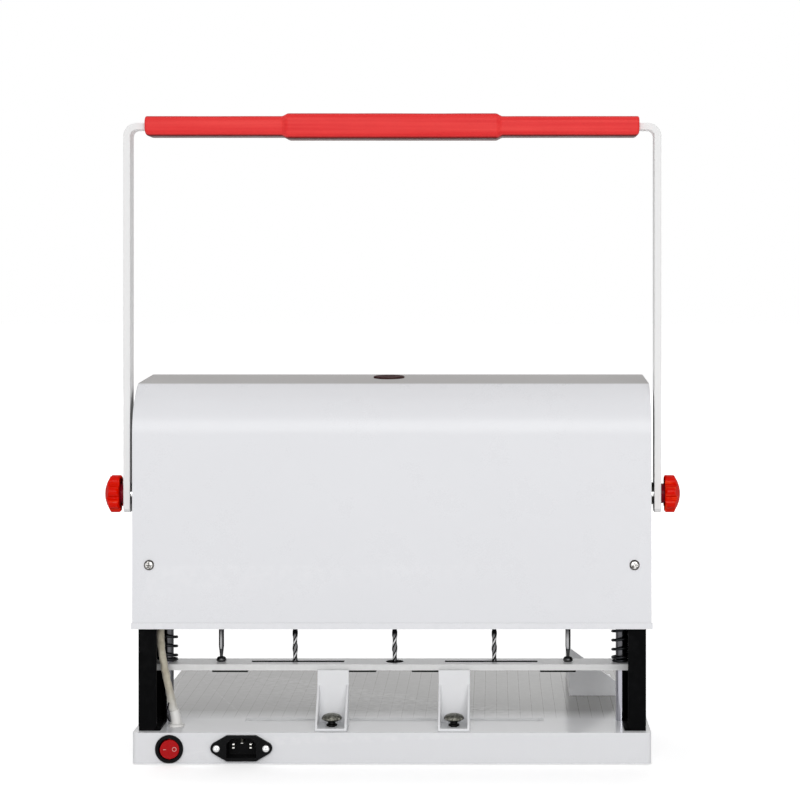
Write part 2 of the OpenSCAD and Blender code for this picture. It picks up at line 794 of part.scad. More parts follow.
module centre_motor() {
    motor(0);
}
module right_motor() {
    motor(drill_pitch);
}
module chuck(x) {
    bore_z = chuck_z + 14;
    color("dimgray") translate([x, line_y, 0]) difference() {
        rotate_extrude() polygon([
            [0, chuck_z], [chuck_d / 2 - 3.4, chuck_z], [chuck_d / 2 - 0.6, chuck_z + 5],
            [chuck_d / 2, chuck_z + 6.5], [chuck_d / 2, chuck_top - 1], [chuck_d / 2 - 1, chuck_top],
            [stem_d / 2, chuck_top], [stem_d / 2, plate_top + 20], [0, plate_top + 20]
        ]);
        z_rod(drill_d + 2 * fit, chuck_z - 1, bore_z, 0, 0);
    }
}
module left_chuck() {
    chuck(-drill_pitch);
}
module centre_chuck() {
    chuck(0);
}
module right_chuck() {
    chuck(drill_pitch);
}
// Twist drill: two helical flutes, a plain shank in the chuck and a pointed tip
module drill(x) {
    tip = drill_d * 0.3;
    flute_end = chuck_z - 3;
    long = flute_end - tip_z;
    color("#2a2b2e") translate([x, line_y, 0]) {
        intersection() {
            translate([0, 0, tip_z]) linear_extrude(long, twist = -360 * long / flute_lead, slices = 36)
                difference() {
                    circle(d = drill_d, $fn = 20);
                    for (a = [0, 180]) rotate(a) translate([drill_d * 0.52, 0])
                        circle(d = drill_d * 0.62, $fn = 12);
                }
            rotate_extrude($fn = 32) polygon([
                [0, tip_z], [drill_d / 2 + 0.2, tip_z + tip], [drill_d / 2 + 0.2, flute_end], [0, flute_end]
            ]);
        }
        z_rod(drill_d, flute_end - 0.01, chuck_z + 13.5, 0, 0);
    }
}
module left_drill() {
    drill(-drill_pitch);
}
module centre_drill() {
    drill(0);
}
module right_drill() {
    drill(drill_pitch);
}
module terminal_block() {
    at = sleeve_corner + sleeve_route[len(sleeve_route) - 1];
    color("ivory") difference() {
        block([-cheek_out - 15, at[1] - 7, at[2]], [-cheek_out, at[1] + 11, at[2] + 22]);
        for (dz = [5, 11, 17]) x_rod(4, -cheek_out - 16, -cheek_out - 11, at[1] + 2, at[2] + dz);
    }
}

// Covers
// What the round of a bend takes off a square corner
module bend_corner(centre, r, out) {
    translate(centre) difference() {
        translate([out < 0 ? -2 * r : 0, 0]) square(2 * r);
        circle(r, $fn = 128);
    }
}
module head_outline(inset, low) {
    drop = inset / cos(roof_slope);
    walls = [rear_y + inset, rear_y + head_d - inset];
    difference() {
        polygon([
            [walls[0], low], [walls[0], roof_z(walls[0]) - drop],
            [walls[1], roof_z(walls[1]) - drop], [walls[1], low]
        ]);
        bend_corner([bend_y, bend_z], bend_r - inset, -1);
        bend_corner([front_bend_y, front_bend_z], front_bend_r - inset, 1);
    }
}
module cover_shell(y0, y1) {
    intersection() {
        along_x(-head_w / 2, head_w / 2) difference() {
            head_outline(0, head_z);
            head_outline(cover_t, head_z - 1);
        }
        block([-head_w, y0, 0], [head_w, y1, 1000]);
    }
}
module rear_cover() {
    color("whitesmoke") difference() {
        union() {
            cover_shell(rear_y - 10, seam_y);
            block([-hem_half, rear_y - hem_t, head_z], [hem_half, rear_y + cover_t / 2, head_z + hem_h]);
        }
        both_sides() y_rod(cover_screw + 2 * fit, rear_y - 1, rear_y + 3, cover_screw_x, cover_screw_z);
    }
}
module front_cover() {
    color("whitesmoke") difference() {
        cover_shell(seam_y + 0.2, front_y);
        both_sides() y_rod(cover_screw + 2 * fit, rear_y + head_d - 3, rear_y + head_d + 1,
            cover_screw_x, cover_screw_z);
    }
}
module side_panel(side) {
    skin = cover_t + 0.1;
    back = rear_y + skin;
    fore = rear_y + head_d - skin;
    color("whitesmoke") on_side(side) difference() {
        union() {
            along_x(panel_in, panel_out) head_outline(skin, head_z);
            block([panel_in - flange_w, back, head_z + 4], [panel_in, back + 1.2, bend_z - 6]);
            block([panel_in - flange_w, fore - 1.2, head_z + 4], [panel_in, fore, front_bend_z - 6]);
        }
        x_rod(shaft_d + 1, panel_in - 1, panel_out + 1, shaft_y, shaft_z);
        y_rod(cover_screw + 2 * fit, back - 1, back + 3, cover_screw_x, cover_screw_z);
        y_rod(cover_screw + 2 * fit, fore - 3, fore + 1, cover_screw_x, cover_screw_z);
        for (dy = cover_screw_dy) x_rod(cover_screw + 2 * fit, panel_in - 1, panel_out + 1,
            plate_front_y + dy, plate_top + screw_up);
    }
}
module left_side_panel() {
    side_panel(-1);
}
module right_side_panel() {
    side_panel(1);
}
module cover_screws() {
    color("silver") both_sides() {
        translate([cover_screw_x, rear_y, cover_screw_z]) rotate([90, 0, 0])
            pan_screw(8.3, 2.4, cover_screw, 5);
        translate([cover_screw_x, rear_y + head_d, cover_screw_z]) rotate([-90, 0, 0])
            pan_screw(8.3, 2.4, cover_screw, 5);
        for (dy = cover_screw_dy) translate([panel_out, plate_front_y + dy, plate_top + screw_up])
            rotate([0, 90, 0]) pan_screw(8.3, 2.4, cover_screw, 4);
    }
}
// Blank round plate on the middle of the roof: a shallow dish inside a raised rim
module badge_plate() {
    at_y = rear_y + head_d / 2;
    r = badge_d / 2;
    high = 1.3;
    rim = 1.2;
    dish = 0.3;
    color("darkred") translate([badge_x, at_y, roof_z(at_y) + fit]) rotate([roof_slope, 0, 0])
        rotate_extrude() polygon([
            [0, 0], [r, 0], [r, high - dish], [r - dish, high], [r - rim, high],
            [r - rim - dish, high - dish], [0, high - dish]
        ]);
}
module return_springs() {
    color("silver") both_sides() translate([return_x, return_y, plate_top])
        spring(return_line, return_wire);
}

// Lever
module cross_shaft() {
    color("silver") x_rod(shaft_d, -shaft_end, shaft_end, shaft_y, shaft_z);
}
module sector_gears() {
    step = 360 / sector_teeth;
    wide = 2 * sector_r;
    low = (first_tooth - 0.5) * step;
    high = (last_tooth + 0.5) * step;
    mid = (low + high) / 2;
    color("slategray") both_sides() difference() {
        union() {
            translate([0, shaft_y, shaft_z]) along_x(gear_in, gear_out) intersection() {
                gear_face_2d(sector_r, sector_teeth, 0);
                polygon([[0, 0], wide * [cos(low), sin(low)], 2 * wide * [cos(mid), sin(mid)],
                    wide * [cos(high), sin(high)]]);
            }
            x_rod(shaft_d + 6, cheek_out + 1.4, gear_out, shaft_y, shaft_z);
        }
        x_rod(shaft_d + 2 * fit, cheek_out, gear_out + 1, shaft_y, shaft_z);
    }
}
module shaft_spacers() {
    color("silver") both_sides() difference() {
        x_rod(shaft_d + 6, head_w / 2 + seat_gap, arm_in, shaft_y, shaft_z);
        x_rod(shaft_d + 2 * fit, head_w / 2, arm_in + 1, shaft_y, shaft_z);
    }
}
module handle_frame() {
    bend_out = bend_in + arm_t;
    low = shaft_z - arm_tail;
    cut = arm_w / 6;
    high = bar_mid_z + arm_t / 2;
    color("whitesmoke") difference() {
        union() {
            both_sides() translate([0, shaft_y, 0]) along_x(arm_in, arm_out) polygon([
                [cut - arm_w / 2, low], [arm_w / 2 - cut, low], [arm_w / 2, low + cut],
                [arm_w / 2, high - bend_out], [-arm_w / 2, high - bend_out], [-arm_w / 2, low + cut]
            ]);
            block([bend_out - arm_out, shaft_y - arm_w / 2, high - arm_t],
                [arm_out - bend_out, shaft_y + arm_w / 2, high]);
            both_sides() translate([arm_out - bend_out, shaft_y + arm_w / 2, high - bend_out])
                rotate([90, 0, 0]) linear_extrude(arm_w) intersection() {
                    difference() {
                        circle(bend_out);
                        circle(bend_in);
                    }
                    square(bend_out);
                }
        }
        both_sides() x_rod(shaft_d + 2 * fit, arm_in - 1, arm_out + 1, shaft_y, shaft_z);
    }
}
module grip_slice(swell, x0, x1) {
    translate([0, shaft_y, bar_mid_z]) along_x(x0, x1)
        rounded(grip_depth + 2 * swell, grip_h + 2 * swell, grip_h * 0.32 + swell);
}
module grip() {
    taper = 6;
    half_mid = grip_mid / 2;
    color("#e23b3b") difference() {
        union() {
            both_sides() grip_slice(0, half_mid, grip_len / 2);
            grip_slice(grip_swell, -half_mid, half_mid);
            both_sides() hull() {
                grip_slice(grip_swell, half_mid - 0.2, half_mid, $fn = 32);
                grip_slice(0, half_mid + taper, half_mid + taper + 0.2, $fn = 32);
            }
        }
        block([-grip_len, shaft_y - arm_w / 2 - fit, bar_mid_z - arm_t / 2 - fit],
            [grip_len, shaft_y + arm_w / 2 + fit, bar_mid_z + arm_t / 2 + fit]);
    }
}
module knob(side) {
    lobe = 9;
    lobes = 7;
    collar = 3.2;
    dome = knob_d / 2 - 2.6;
    dome_h = 3.8;
    ring = knob_d / 2 - lobe / 2;
    color("#c4150f") on_side(side) translate([arm_out, shaft_y, shaft_z]) rotate([0, 90, 0]) difference() {
        union() {
            cylinder(d = shaft_d + 4, h = collar + 1);
            intersection() {
                translate([0, 0, collar]) linear_extrude(knob_h - collar) {
                    circle(ring + 0.8);
                    for (k = [0:lobes - 1]) rotate(k * 360 / lobes) translate([ring, 0]) circle(d = lobe);
                }
                rotate_extrude() polygon([
                    [0, collar], [knob_d / 2 - 1.2, collar], [knob_d / 2, collar + 1.2],
                    [knob_d / 2, knob_h - dome_h - 1.2], [dome, knob_h - dome_h],
                    [0.78 * dome, knob_h - 0.58 * dome_h], [0.47 * dome, knob_h - 0.2 * dome_h],
                    [0.23 * dome, knob_h - 0.05 * dome_h], [0, knob_h]
                ]);
            }
        }
        translate([0, 0, -1]) cylinder(d = shaft_d + 2 * run, h = shaft_end - arm_out + 1.3);
    }
}
module left_knob() {
    knob(-1);
}
module right_knob() {
    knob(1);
}

// Press bar
module press_bar() {
    bar_half = col_out - col_t - 2.6;
    near = drill_pitch - unit_in - slot_end;
    far = drill_pitch + unit_out + slot_end;
    slot_w = drill_d + 2.5;
    color("gainsboro") difference() {
        block([-bar_half, line_y - bar_depth / 2, bar_z], [bar_half, line_y + bar_depth / 2, bar_top]);
        both_sides() z_rod(rod_d + 2 * run, bar_z - 1, bar_top + 1, rod_x, line_y);
        both_sides() z_rod(pin_d - 0.4 + 2 * fit, bar_z - 1, bar_top + 1, pin_x, line_y);
        both_sides() block([near, line_y - slot_w / 2, bar_z - 1], [far, line_y + slot_w / 2, bar_top + 1]);
        z_rod(bar_hole_d, bar_z - 1, bar_top + 1, 0, line_y);
    }
}
module press_pads() {
    edge = 0.3;
    strip_w = 6;
    inner = [bar_hole_d / 2 + 7.5, drill_pitch - unit_in];
    outer = [pin_x - 23.5, pin_x + 6];
    color("#1b1b1d") both_sides() for (x = [inner, outer]) for (j = [-1, 1])
        translate([x[0], line_y + j * (bar_depth / 2 - strip_w / 2 - edge) - strip_w / 2, strip_z])
            cube([x[1] - x[0], strip_w, strip_t]);
}
module hanger_pins() {
    r = pin_d / 2;
    color("dimgray") both_sides() translate([pin_x, line_y, 0]) rotate_extrude() polygon([
        [0, bar_z + 0.5], [r - 0.2, bar_z + 0.5], [r - 0.2, bar_top], [r + 1, bar_top],
        [r + 1.9, bar_top + 1], [r + 1.9, bar_top + 2.4], [r + 1, bar_top + 3.8],
        [r * 0.6, bar_top + 4.4], [r * 0.66, bar_top + 6.4], [r, bar_top + 13], [r, plate_top + seat_gap],
        [r + 1.8, plate_top + seat_gap], [r + 1.8, plate_top + 4], [r + 1.2, plate_top + 4.6],
        [0, plate_top + 4.6]
    ]);
}
module press_springs() {
    color("#26282b") both_sides() translate([rod_x, line_y, bar_top]) spring(press_line, press_wire);
}

// Paper gauges
module stop_bracket(side) {
    top = base_h + stop_h;
    brace = base_h + stop_h * 0.74;
    slot_half = stop_screw_d / 2 + run;
    color("whitesmoke") on_side(side) translate([stop_x, 0, 0]) difference() {
        union() {
            block([-stop_w / 2, stop_y, base_h], [stop_w / 2, stop_front, base_h + gauge_t]);
            block([-stop_w / 2, stop_front - gauge_t, base_h], [stop_w / 2, stop_front, top]);
            for (x = [-stop_w / 2, stop_w / 2 - gauge_t]) along_x(x, x + gauge_t) polygon([
                [stop_y, base_h], [stop_front, base_h], [stop_front, brace], [stop_front - gauge_t, brace],
                [stop_y, base_h + stop_lip]
            ]);
        }
        block([-slot_half, stop_screw_y - slot_half - 2, base_h - 1],
            [slot_half, stop_screw_y + slot_half + 8, base_h + gauge_t + 1]);
    }
}
module left_stop() {
    stop_bracket(-1);
}
module right_stop() {
    stop_bracket(1);
}
// Thumb screw that clamps a stop: a scalloped cap on a short stem
module stop_screw(side) {
    low = base_h + gauge_t + seat_gap;
    shank = stop_screw_d / 2;
    scallops = 8;
    color("#6b6a60") on_side(side) translate([stop_x, stop_screw_y, 0]) difference() {
        rotate_extrude() polygon([
            [0, base_h - 9], [shank, base_h - 9], [shank, low], [shank + 2, low], [shank + 2, low + 1.2],
            [shank + 0.6, low + 1.8], [shank + 0.6, low + 3.6], [0.66 * thumb_r, low + 4],
            [thumb_r, low + 5.6], [thumb_r, low + 6.6], [0.82 * thumb_r, low + 8.4],
            [0.48 * thumb_r, low + 9.6], [0, low + 10]
        ]);
        for (k = [0:scallops - 1]) rotate(k * 360 / scallops)
            z_rod(4, low + 3, low + 11, thumb_r + 1.2, 0);
    }
}
module left_stop_screw() {
    stop_screw(-1);
}
module right_stop_screw() {
    stop_screw(1);
}
module magnet_places() {
    for (dy = [magnet_in, gauge_len - magnet_in])
        translate([gauge_x + gauge_w / 2, gauge_y + dy, base_h]) children();
}
module side_gauge() {
    top = base_h + gauge_h;
    end_x = gauge_x + gauge_w;
    end_y = gauge_y + gauge_len;
    color("whitesmoke") difference() {
        union() {
            block([gauge_x, gauge_y, base_h], [gauge_x + gauge_t, end_y, top]);
            translate([0, gauge_y + gauge_t, 0]) rotate([90, 0, 0]) linear_extrude(gauge_t) polygon([
                [gauge_x, base_h], [end_x, base_h], [end_x, base_h + gauge_low], [gauge_x + gauge_t, top],
                [gauge_x, top]
            ]);
            block([gauge_x, gauge_y, base_h], [end_x, end_y, base_h + gauge_t]);
        }
        magnet_places() translate([0, 0, -1]) cylinder(d = magnet_d + 2 * fit, h = gauge_t + 2);
    }
}
module gauge_magnets() {
    color("silver") magnet_places() cylinder(d = magnet_d, h = gauge_t + 0.6);
}

base_tray();
bottom_plate();
rubber_feet();
drill_pad();
left_column();
right_column();
racks();
guide_rods();
rod_nuts();
tie_bar();
column_screws();
inlet_housing();
inlet_blades();
inlet_screws();
switch_bezel();
rocker();
power_board();
sleeve_grommet();
wire_sleeve();
carriage_plate();
frame_plates();
rod_bushings();
shaft_bushes();
idler_pins();
left_idler();
right_idler();
left_motor();
centre_motor();
right_motor();
left_chuck();
centre_chuck();
right_chuck();
left_drill();
centre_drill();
right_drill();
terminal_block();
rear_cover();
front_cover();
left_side_panel();
right_side_panel();
cover_screws();
badge_plate();
return_springs();
cross_shaft();
sector_gears();
shaft_spacers();
handle_frame();
grip();
left_knob();
right_knob();
press_bar();
press_pads();
hanger_pins();
press_springs();
left_stop();
right_stop();
left_stop_screw();
right_stop_screw();
side_gauge();
gauge_magnets();
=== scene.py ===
import math

import bpy
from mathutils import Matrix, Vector, noise
from mathutils.bvhtree import BVHTree


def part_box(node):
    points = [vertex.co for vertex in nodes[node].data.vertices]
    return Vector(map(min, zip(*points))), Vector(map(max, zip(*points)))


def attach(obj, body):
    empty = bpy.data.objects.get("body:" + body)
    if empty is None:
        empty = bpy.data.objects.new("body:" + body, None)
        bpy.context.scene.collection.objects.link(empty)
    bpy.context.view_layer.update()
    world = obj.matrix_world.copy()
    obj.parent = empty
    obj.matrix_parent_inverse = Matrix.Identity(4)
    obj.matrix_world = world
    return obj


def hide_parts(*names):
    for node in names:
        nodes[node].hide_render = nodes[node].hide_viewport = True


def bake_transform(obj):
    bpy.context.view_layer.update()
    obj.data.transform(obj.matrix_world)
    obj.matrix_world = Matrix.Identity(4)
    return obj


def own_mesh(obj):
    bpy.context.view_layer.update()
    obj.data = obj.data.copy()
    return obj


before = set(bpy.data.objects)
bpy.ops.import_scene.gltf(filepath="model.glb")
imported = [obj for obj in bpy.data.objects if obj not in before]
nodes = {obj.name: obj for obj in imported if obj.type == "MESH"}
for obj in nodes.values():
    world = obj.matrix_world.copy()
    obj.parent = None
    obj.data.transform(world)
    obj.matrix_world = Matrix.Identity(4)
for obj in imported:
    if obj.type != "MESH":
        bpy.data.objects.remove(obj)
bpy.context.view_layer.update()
mm = 0.001

# Places that many pieces share, read from the frame
trayLow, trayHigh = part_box("base_tray")
barLow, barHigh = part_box("press_bar")
rearY = trayLow.y
surfaceZ = trayHigh.z
lineY = (barLow.y + barHigh.y) / 2
print("frame loaded:", len(nodes), "nodes")


# Camera: level, behind the machine, shifted so that uprights stay upright
cameraSet = {
    "lens": 94.4,
    "sensor": 36.0,
    "place": (82.8 * mm, rearY - 1700 * mm, 397 * mm),
    "shift": (-0.1175, -0.15625),
    "clip": (0.05, 60),
}


def addCamera(settings):
    data = bpy.data.cameras.new("viewCamera")
    data.lens = settings["lens"]
    data.sensor_width = settings["sensor"]
    data.shift_x, data.shift_y = settings["shift"]
    data.clip_start, data.clip_end = settings["clip"]
    camera = bpy.data.objects.new("viewCamera", data)
    camera.location = settings["place"]
    camera.rotation_euler = (math.radians(90), 0, 0)
    bpy.context.scene.collection.objects.link(camera)
    bpy.context.scene.camera = camera


addCamera(cameraSet)
print("camera placed")


# Mesh helpers
def addPiece(name, vertices, faces, smooth=True):
    mesh = bpy.data.meshes.new(name)
    mesh.from_pydata([tuple(v) for v in vertices], [], faces)
    mesh.validate()
    piece = bpy.data.objects.new(name, mesh)
    bpy.context.scene.collection.objects.link(piece)
    if smooth:
        mesh.polygons.foreach_set("use_smooth", [True] * len(mesh.polygons))
    return piece


# Skin over a row of rings that all have the same number of points, closed at both ends
def skinRings(rings):
    sides = len(rings[0])
    vertices = [point for ring in rings for point in ring]
    faces = []
    for i in range(len(rings) - 1):
        for k in range(sides):
            n = (k + 1) % sides
            faces.append((i * sides + k, i * sides + n, (i + 1) * sides + n, (i + 1) * sides + k))
    faces.append(tuple(reversed(range(sides))))
    faces.append(tuple((len(rings) - 1) * sides + k for k in range(sides)))
    return vertices, faces


# Rings of a tube along a line, carried along without twist
def tubeRings(line, radiusAt, sides):
    tangents = []
    for i in range(len(line)):
        before, after = line[max(i - 1, 0)], line[min(i + 1, len(line) - 1)]
        tangents.append((after - before).normalized())
    side = tangents[0].orthogonal().normalized()
    rings = []
    for i, (point, along) in enumerate(zip(line, tangents)):
        side = (side - along * side.dot(along)).normalized()
        up = along.cross(side)
        ring = []
        for k in range(sides):
            angle = 2 * math.pi * k / sides
            outward = side * math.cos(angle) + up * math.sin(angle)
            ring.append(point + outward * radiusAt(i / (len(line) - 1), angle))
        rings.append(ring)
    return rings


# Smooth curve through given points
def smoothLine(points, steps):
    line = []
    for i in range(len(points) - 1):
        a, b = points[max(i - 1, 0)], points[i]
        c, d = points[i + 1], points[min(i + 2, len(points) - 1)]
        for s in range(steps):
            t = s / steps
            line.append(0.5 * (2 * b + (c - a) * t + (2 * a - 5 * b + 4 * c - d) * t * t
                               + (3 * b - a - 3 * c + d) * t ** 3))
    line.append(points[-1].copy())
    return line


# Crisp shading across edges sharper than an angle in degrees
def splitEdges(piece, angle):
    piece.modifiers.new("edges", "EDGE_SPLIT").split_angle = math.radians(angle)


def smoothStep(t):
    t = min(1.0, max(0.0, t))
    return t * t * (3 - 2 * t)


# Frame nodes keep their shape and get rounded edges from modifiers
edgeSet = {"weld": 0.01 * mm, "flatAngle": 0.6, "sharpAngle": 35, "segments": 3, "weight": 60}


def roundEdges(node, width, settings):
    weld = node.modifiers.new("weld", "WELD")
    weld.merge_threshold = settings["weld"]
    flat = node.modifiers.new("flat", "DECIMATE")
    flat.decimate_type = "DISSOLVE"
    flat.angle_limit = math.radians(settings["flatAngle"])
    bevel = node.modifiers.new("bevel", "BEVEL")
    bevel.width = width
    bevel.segments = settings["segments"]
    bevel.limit_method = "ANGLE"
    bevel.angle_limit = math.radians(settings["sharpAngle"])
    bevel.use_clamp_overlap = True
    bevel.miter_outer = "MITER_ARC"
    normals = node.modifiers.new("normals", "WEIGHTED_NORMAL")
    normals.keep_sharp = False
    normals.weight = settings["weight"]
    node.data.polygons.foreach_set("use_smooth", [True] * len(node.data.polygons))


# Shader effects that several finishes share
def newGroup(name, inputs, outputs):
    tree = bpy.data.node_groups.new(name, "ShaderNodeTree")
    for label, kind, value in inputs:
        socket = tree.interface.new_socket(name=label, in_out="INPUT", socket_type="NodeSocket" + kind)
        socket.default_value = value
    for label, kind in outputs:
        tree.interface.new_socket(name=label, in_out="OUTPUT", socket_type="NodeSocket" + kind)
    return tree, tree.nodes.new("NodeGroupInput"), tree.nodes.new("NodeGroupOutput")


# Give a socket a number, a colour, a vector or another node's output
def feed(node, label, source):
    socket = node.inputs[label]
    if isinstance(source, tuple) and socket.type == "RGBA":
        socket.default_value = (*source, 1)
    elif isinstance(source, (int, float, tuple)):
        socket.default_value = source
    else:
        node.id_data.links.new(source, socket)


def addNode(tree, kind, values=None, **settings):
    node = tree.nodes.new(kind)
    for key, value in settings.items():
        setattr(node, key, value)
    for key, value in (values or {}).items():
        feed(node, key, value)
    return node


def addMath(tree, operation, first, second=None, clamp=False):
    values = {0: first} if second is None else {0: first, 1: second}
    return addNode(tree, "ShaderNodeMath", values, operation=operation, use_clamp=clamp).outputs[0]


def addMix(tree, factor, first, second):
    return addNode(tree, "ShaderNodeMix", {0: factor, 6: first, 7: second}, data_type="RGBA").outputs[2]


def addRange(tree, value, low, high, toLow=0.0, toHigh=1.0):
    values = dict(enumerate((value, low, high, toLow, toHigh)))
    return addNode(tree, "ShaderNodeMapRange", values, clamp=True).outputs[0]


def addScale(tree, color, level):
    return addNode(tree, "ShaderNodeVectorMath", {0: color, "Scale": level}, operation="SCALE").outputs[0]


def objectPoint(tree):
    return tree.nodes.new("ShaderNodeTexCoord").outputs["Object"]


def addNoise(tree, scale, detail, rough=0.55, point=None):
    vector = objectPoint(tree) if point is None else point
    values = {"Vector": vector, "Scale": scale, "Detail": detail, "Roughness": rough}
    return addNode(tree, "ShaderNodeTexNoise", values).outputs["Fac"]


# Point on the piece, pulled out along its axes so that a noise turns into lines
def stretchedPoint(tree, stretch):
    values = {0: objectPoint(tree), 1: stretch}
    return addNode(tree, "ShaderNodeVectorMath", values, operation="MULTIPLY").outputs[0]


def splitParts(tree, vector):
    return addNode(tree, "ShaderNodeSeparateXYZ", {0: vector}).outputs


def pointParts(tree):
    return splitParts(tree, objectPoint(tree))


# Way that a face looks on its own piece, as X, Y and Z shares
def facingParts(tree):
    return splitParts(tree, tree.nodes.new("ShaderNodeTexCoord").outputs["Normal"])


# Mask that is 1 where a value lies between two limits
def addBetween(tree, value, low, high):
    above = addMath(tree, "GREATER_THAN", value, low)
    return addMath(tree, "MULTIPLY", above, addMath(tree, "LESS_THAN", value, high))


# Fine grain of a coat or moulding: height, and a roughness that drifts over the surface
def makeGrain():
    tree, start, end = newGroup(
        "coatGrain",
        [("Scale", "Float", 900.0), ("Roughness", "Float", 0.4), ("Spread", "Float", 0.08)],
        [("Height", "Float"), ("Roughness", "Float")])
    fine = addNoise(tree, start.outputs["Scale"], 2.0)
    broad = addNoise(tree, 26.0, 4.0)
    feed(end, "Height", fine)
    offset = addMath(tree, "MULTIPLY", addMath(tree, "SUBTRACT", broad, 0.5), start.outputs["Spread"])
    grained = addMath(tree, "MULTIPLY", addMath(tree, "SUBTRACT", fine, 0.5),
                      addMath(tree, "MULTIPLY", start.outputs["Spread"], 0.5))
    drifted = addMath(tree, "ADD", start.outputs["Roughness"], offset)
    feed(end, "Roughness", addMath(tree, "ADD", drifted, grained, clamp=True))
    return tree


# Slow drift of tone
def makeDrift():
    tree, start, end = newGroup(
        "toneDrift",
        [("Color", "Color", (0.8, 0.8, 0.8, 1)), ("Amount", "Float", 0.06), ("Scale", "Float", 14.0)],
        [("Color", "Color")])
    cloud = addNoise(tree, start.outputs["Scale"], 5.0)
    shade = addMath(tree, "MULTIPLY", addMath(tree, "SUBTRACT", cloud, 0.5), start.outputs["Amount"])
    feed(end, "Color", addScale(tree, start.outputs["Color"], addMath(tree, "ADD", shade, 1.0)))
    return tree


# Edge tone: a second colour where the mesh is sharp and outward, broken up by noise; wear on most finishes,
# painted highlights on the knobs
def makeEdgeTone():
    tree, start, end = newGroup(
        "edgeRubAndHighlight",
        [("Color", "Color", (0.8, 0.8, 0.8, 1)), ("Rub Color", "Color", (0.9, 0.9, 0.9, 1)),
         ("Amount", "Float", 0.4)],
        [("Color", "Color")])
    sharp = addRange(tree, tree.nodes.new("ShaderNodeNewGeometry").outputs["Pointiness"], 0.52, 0.6)
    broken = addRange(tree, addNoise(tree, 180.0, 5.0), 0.38, 0.66)
    edgeToned = addMath(tree, "MULTIPLY", sharp, broken)
    mask = addMath(tree, "MULTIPLY", edgeToned, start.outputs["Amount"], clamp=True)
    feed(end, "Color", addMix(tree, mask, start.outputs["Color"], start.outputs["Rub Color"]))
    return tree


# Machining lines along one axis
def makeBrush():
    tree, start, end = newGroup(
        "machineLines",
        [("Stretch", "Vector", (40.0, 1500.0, 1500.0)), ("Roughness", "Float", 0.3),
         ("Spread", "Float", 0.15)],
        [("Height", "Float"), ("Roughness", "Float")])
    lines = addNoise(tree, 1.0, 3.0, point=stretchedPoint(tree, start.outputs["Stretch"]))
    feed(end, "Height", lines)
    offset = addMath(tree, "MULTIPLY", addMath(tree, "SUBTRACT", lines, 0.5), start.outputs["Spread"])
    feed(end, "Roughness", addMath(tree, "ADD", start.outputs["Roughness"], offset, clamp=True))
    return tree


# Dust that settles on faces that look up
def makeDust():
    tree, start, end = newGroup(
        "settledDust",
        [("Color", "Color", (0.1, 0.1, 0.1, 1)), ("Dust Color", "Color", (0.45, 0.44, 0.42, 1)),
         ("Amount", "Float", 0.25), ("Start", "Float", 0.4)],
        [("Color", "Color")])
    facing = splitParts(tree, tree.nodes.new("ShaderNodeNewGeometry").outputs["Normal"])
    upward = addRange(tree, facing["Z"], start.outputs["Start"], 1.0)
    patchy = addRange(tree, addNoise(tree, 240.0, 6.0, 0.65), 0.3, 0.75)
    settled = addMath(tree, "MULTIPLY", upward, patchy)
    mask = addMath(tree, "MULTIPLY", settled, start.outputs["Amount"], clamp=True)
    feed(end, "Color", addMix(tree, mask, start.outputs["Color"], start.outputs["Dust Color"]))
    return tree


# Painted shade: darker colour in narrow gaps and hollows, found by ambient occlusion
def makeCrevice():
    tree, start, end = newGroup(
        "creviceShade",
        [("Color", "Color", (0.8, 0.8, 0.8, 1)), ("Reach", "Float", 0.012), ("Depth", "Float", 0.8)],
        [("Color", "Color")])
    near = addNode(tree, "ShaderNodeAmbientOcclusion", {"Distance": start.outputs["Reach"]}, samples=6)
    bottom = addMath(tree, "SUBTRACT", 1.0, start.outputs["Depth"])
    level = addRange(tree, near.outputs["AO"], 0.08, 0.38, bottom, 1.0)
    feed(end, "Color", addScale(tree, start.outputs["Color"], level))
    return tree


effects = {
    "grain": makeGrain(),
    "drift": makeDrift(),
    "rubAndHighlight": makeEdgeTone(),
    "brush": makeBrush(),
    "dust": makeDust(),
    "crevice": makeCrevice(),
}


def useEffect(tree, name, **values):
    sockets = {label.replace("_", " "): value for label, value in values.items()}
    return addNode(tree, "ShaderNodeGroup", sockets, node_tree=effects[name])


# Effects that only change a colour
def tint(tree, name, **values):
    return useEffect(tree, name, **values).outputs["Color"]


def newFinish(name, **sockets):
    material = bpy.data.materials.new(name)
    material.use_nodes = True
    tree = material.node_tree
    shader = tree.nodes["Principled BSDF"]
    for label, value in sockets.items():
        feed(shader, label.replace("_", " "), value)
    return material, tree, shader


def addBump(tree, shader, height, distance, strength=1.0):
    values = {"Height": height, "Distance": distance, "Strength": strength}
    feed(shader, "Normal", addNode(tree, "ShaderNodeBump", values).outputs[0])


# Roughness and fine relief from the grain or the machine lines, and more roughness in places
def addSurface(tree, shader, name, relief, more=None, **values):
    effect = useEffect(tree, name, **values)
    rough = effect.outputs["Roughness"]
    if more is not None:
        rough = addMath(tree, "ADD", rough, more, clamp=True)
    feed(shader, "Roughness", rough)
    addBump(tree, shader, effect.outputs["Height"], relief)


print("shader effects built")


# Painted sheet: satin powder coat
def paintFinish(name, color, roughness, rubColor, rubAndHighlight=0.25, grain=1100.0, depth=0.01 * mm, dust=0.0,
                dustStart=0.4, crevice=0.0, specular=0.3):
    material, tree, shader = newFinish(name, Specular_IOR_Level=specular)
    drift = tint(tree, "drift", Color=color, Amount=0.05, Scale=9.0)
    top = tint(tree, "rubAndHighlight", Color=drift, Rub_Color=rubColor, Amount=rubAndHighlight)
    if dust:
        top = tint(tree, "dust", Color=top, Amount=dust, Start=dustStart)
    # A crevice depth adds painted shade in narrow gaps
    if crevice:
        top = tint(tree, "crevice", Color=top, Depth=crevice)
    feed(shader, "Base Color", top)
    addSurface(tree, shader, "grain", depth, Scale=grain, Roughness=roughness, Spread=0.1)
    return material


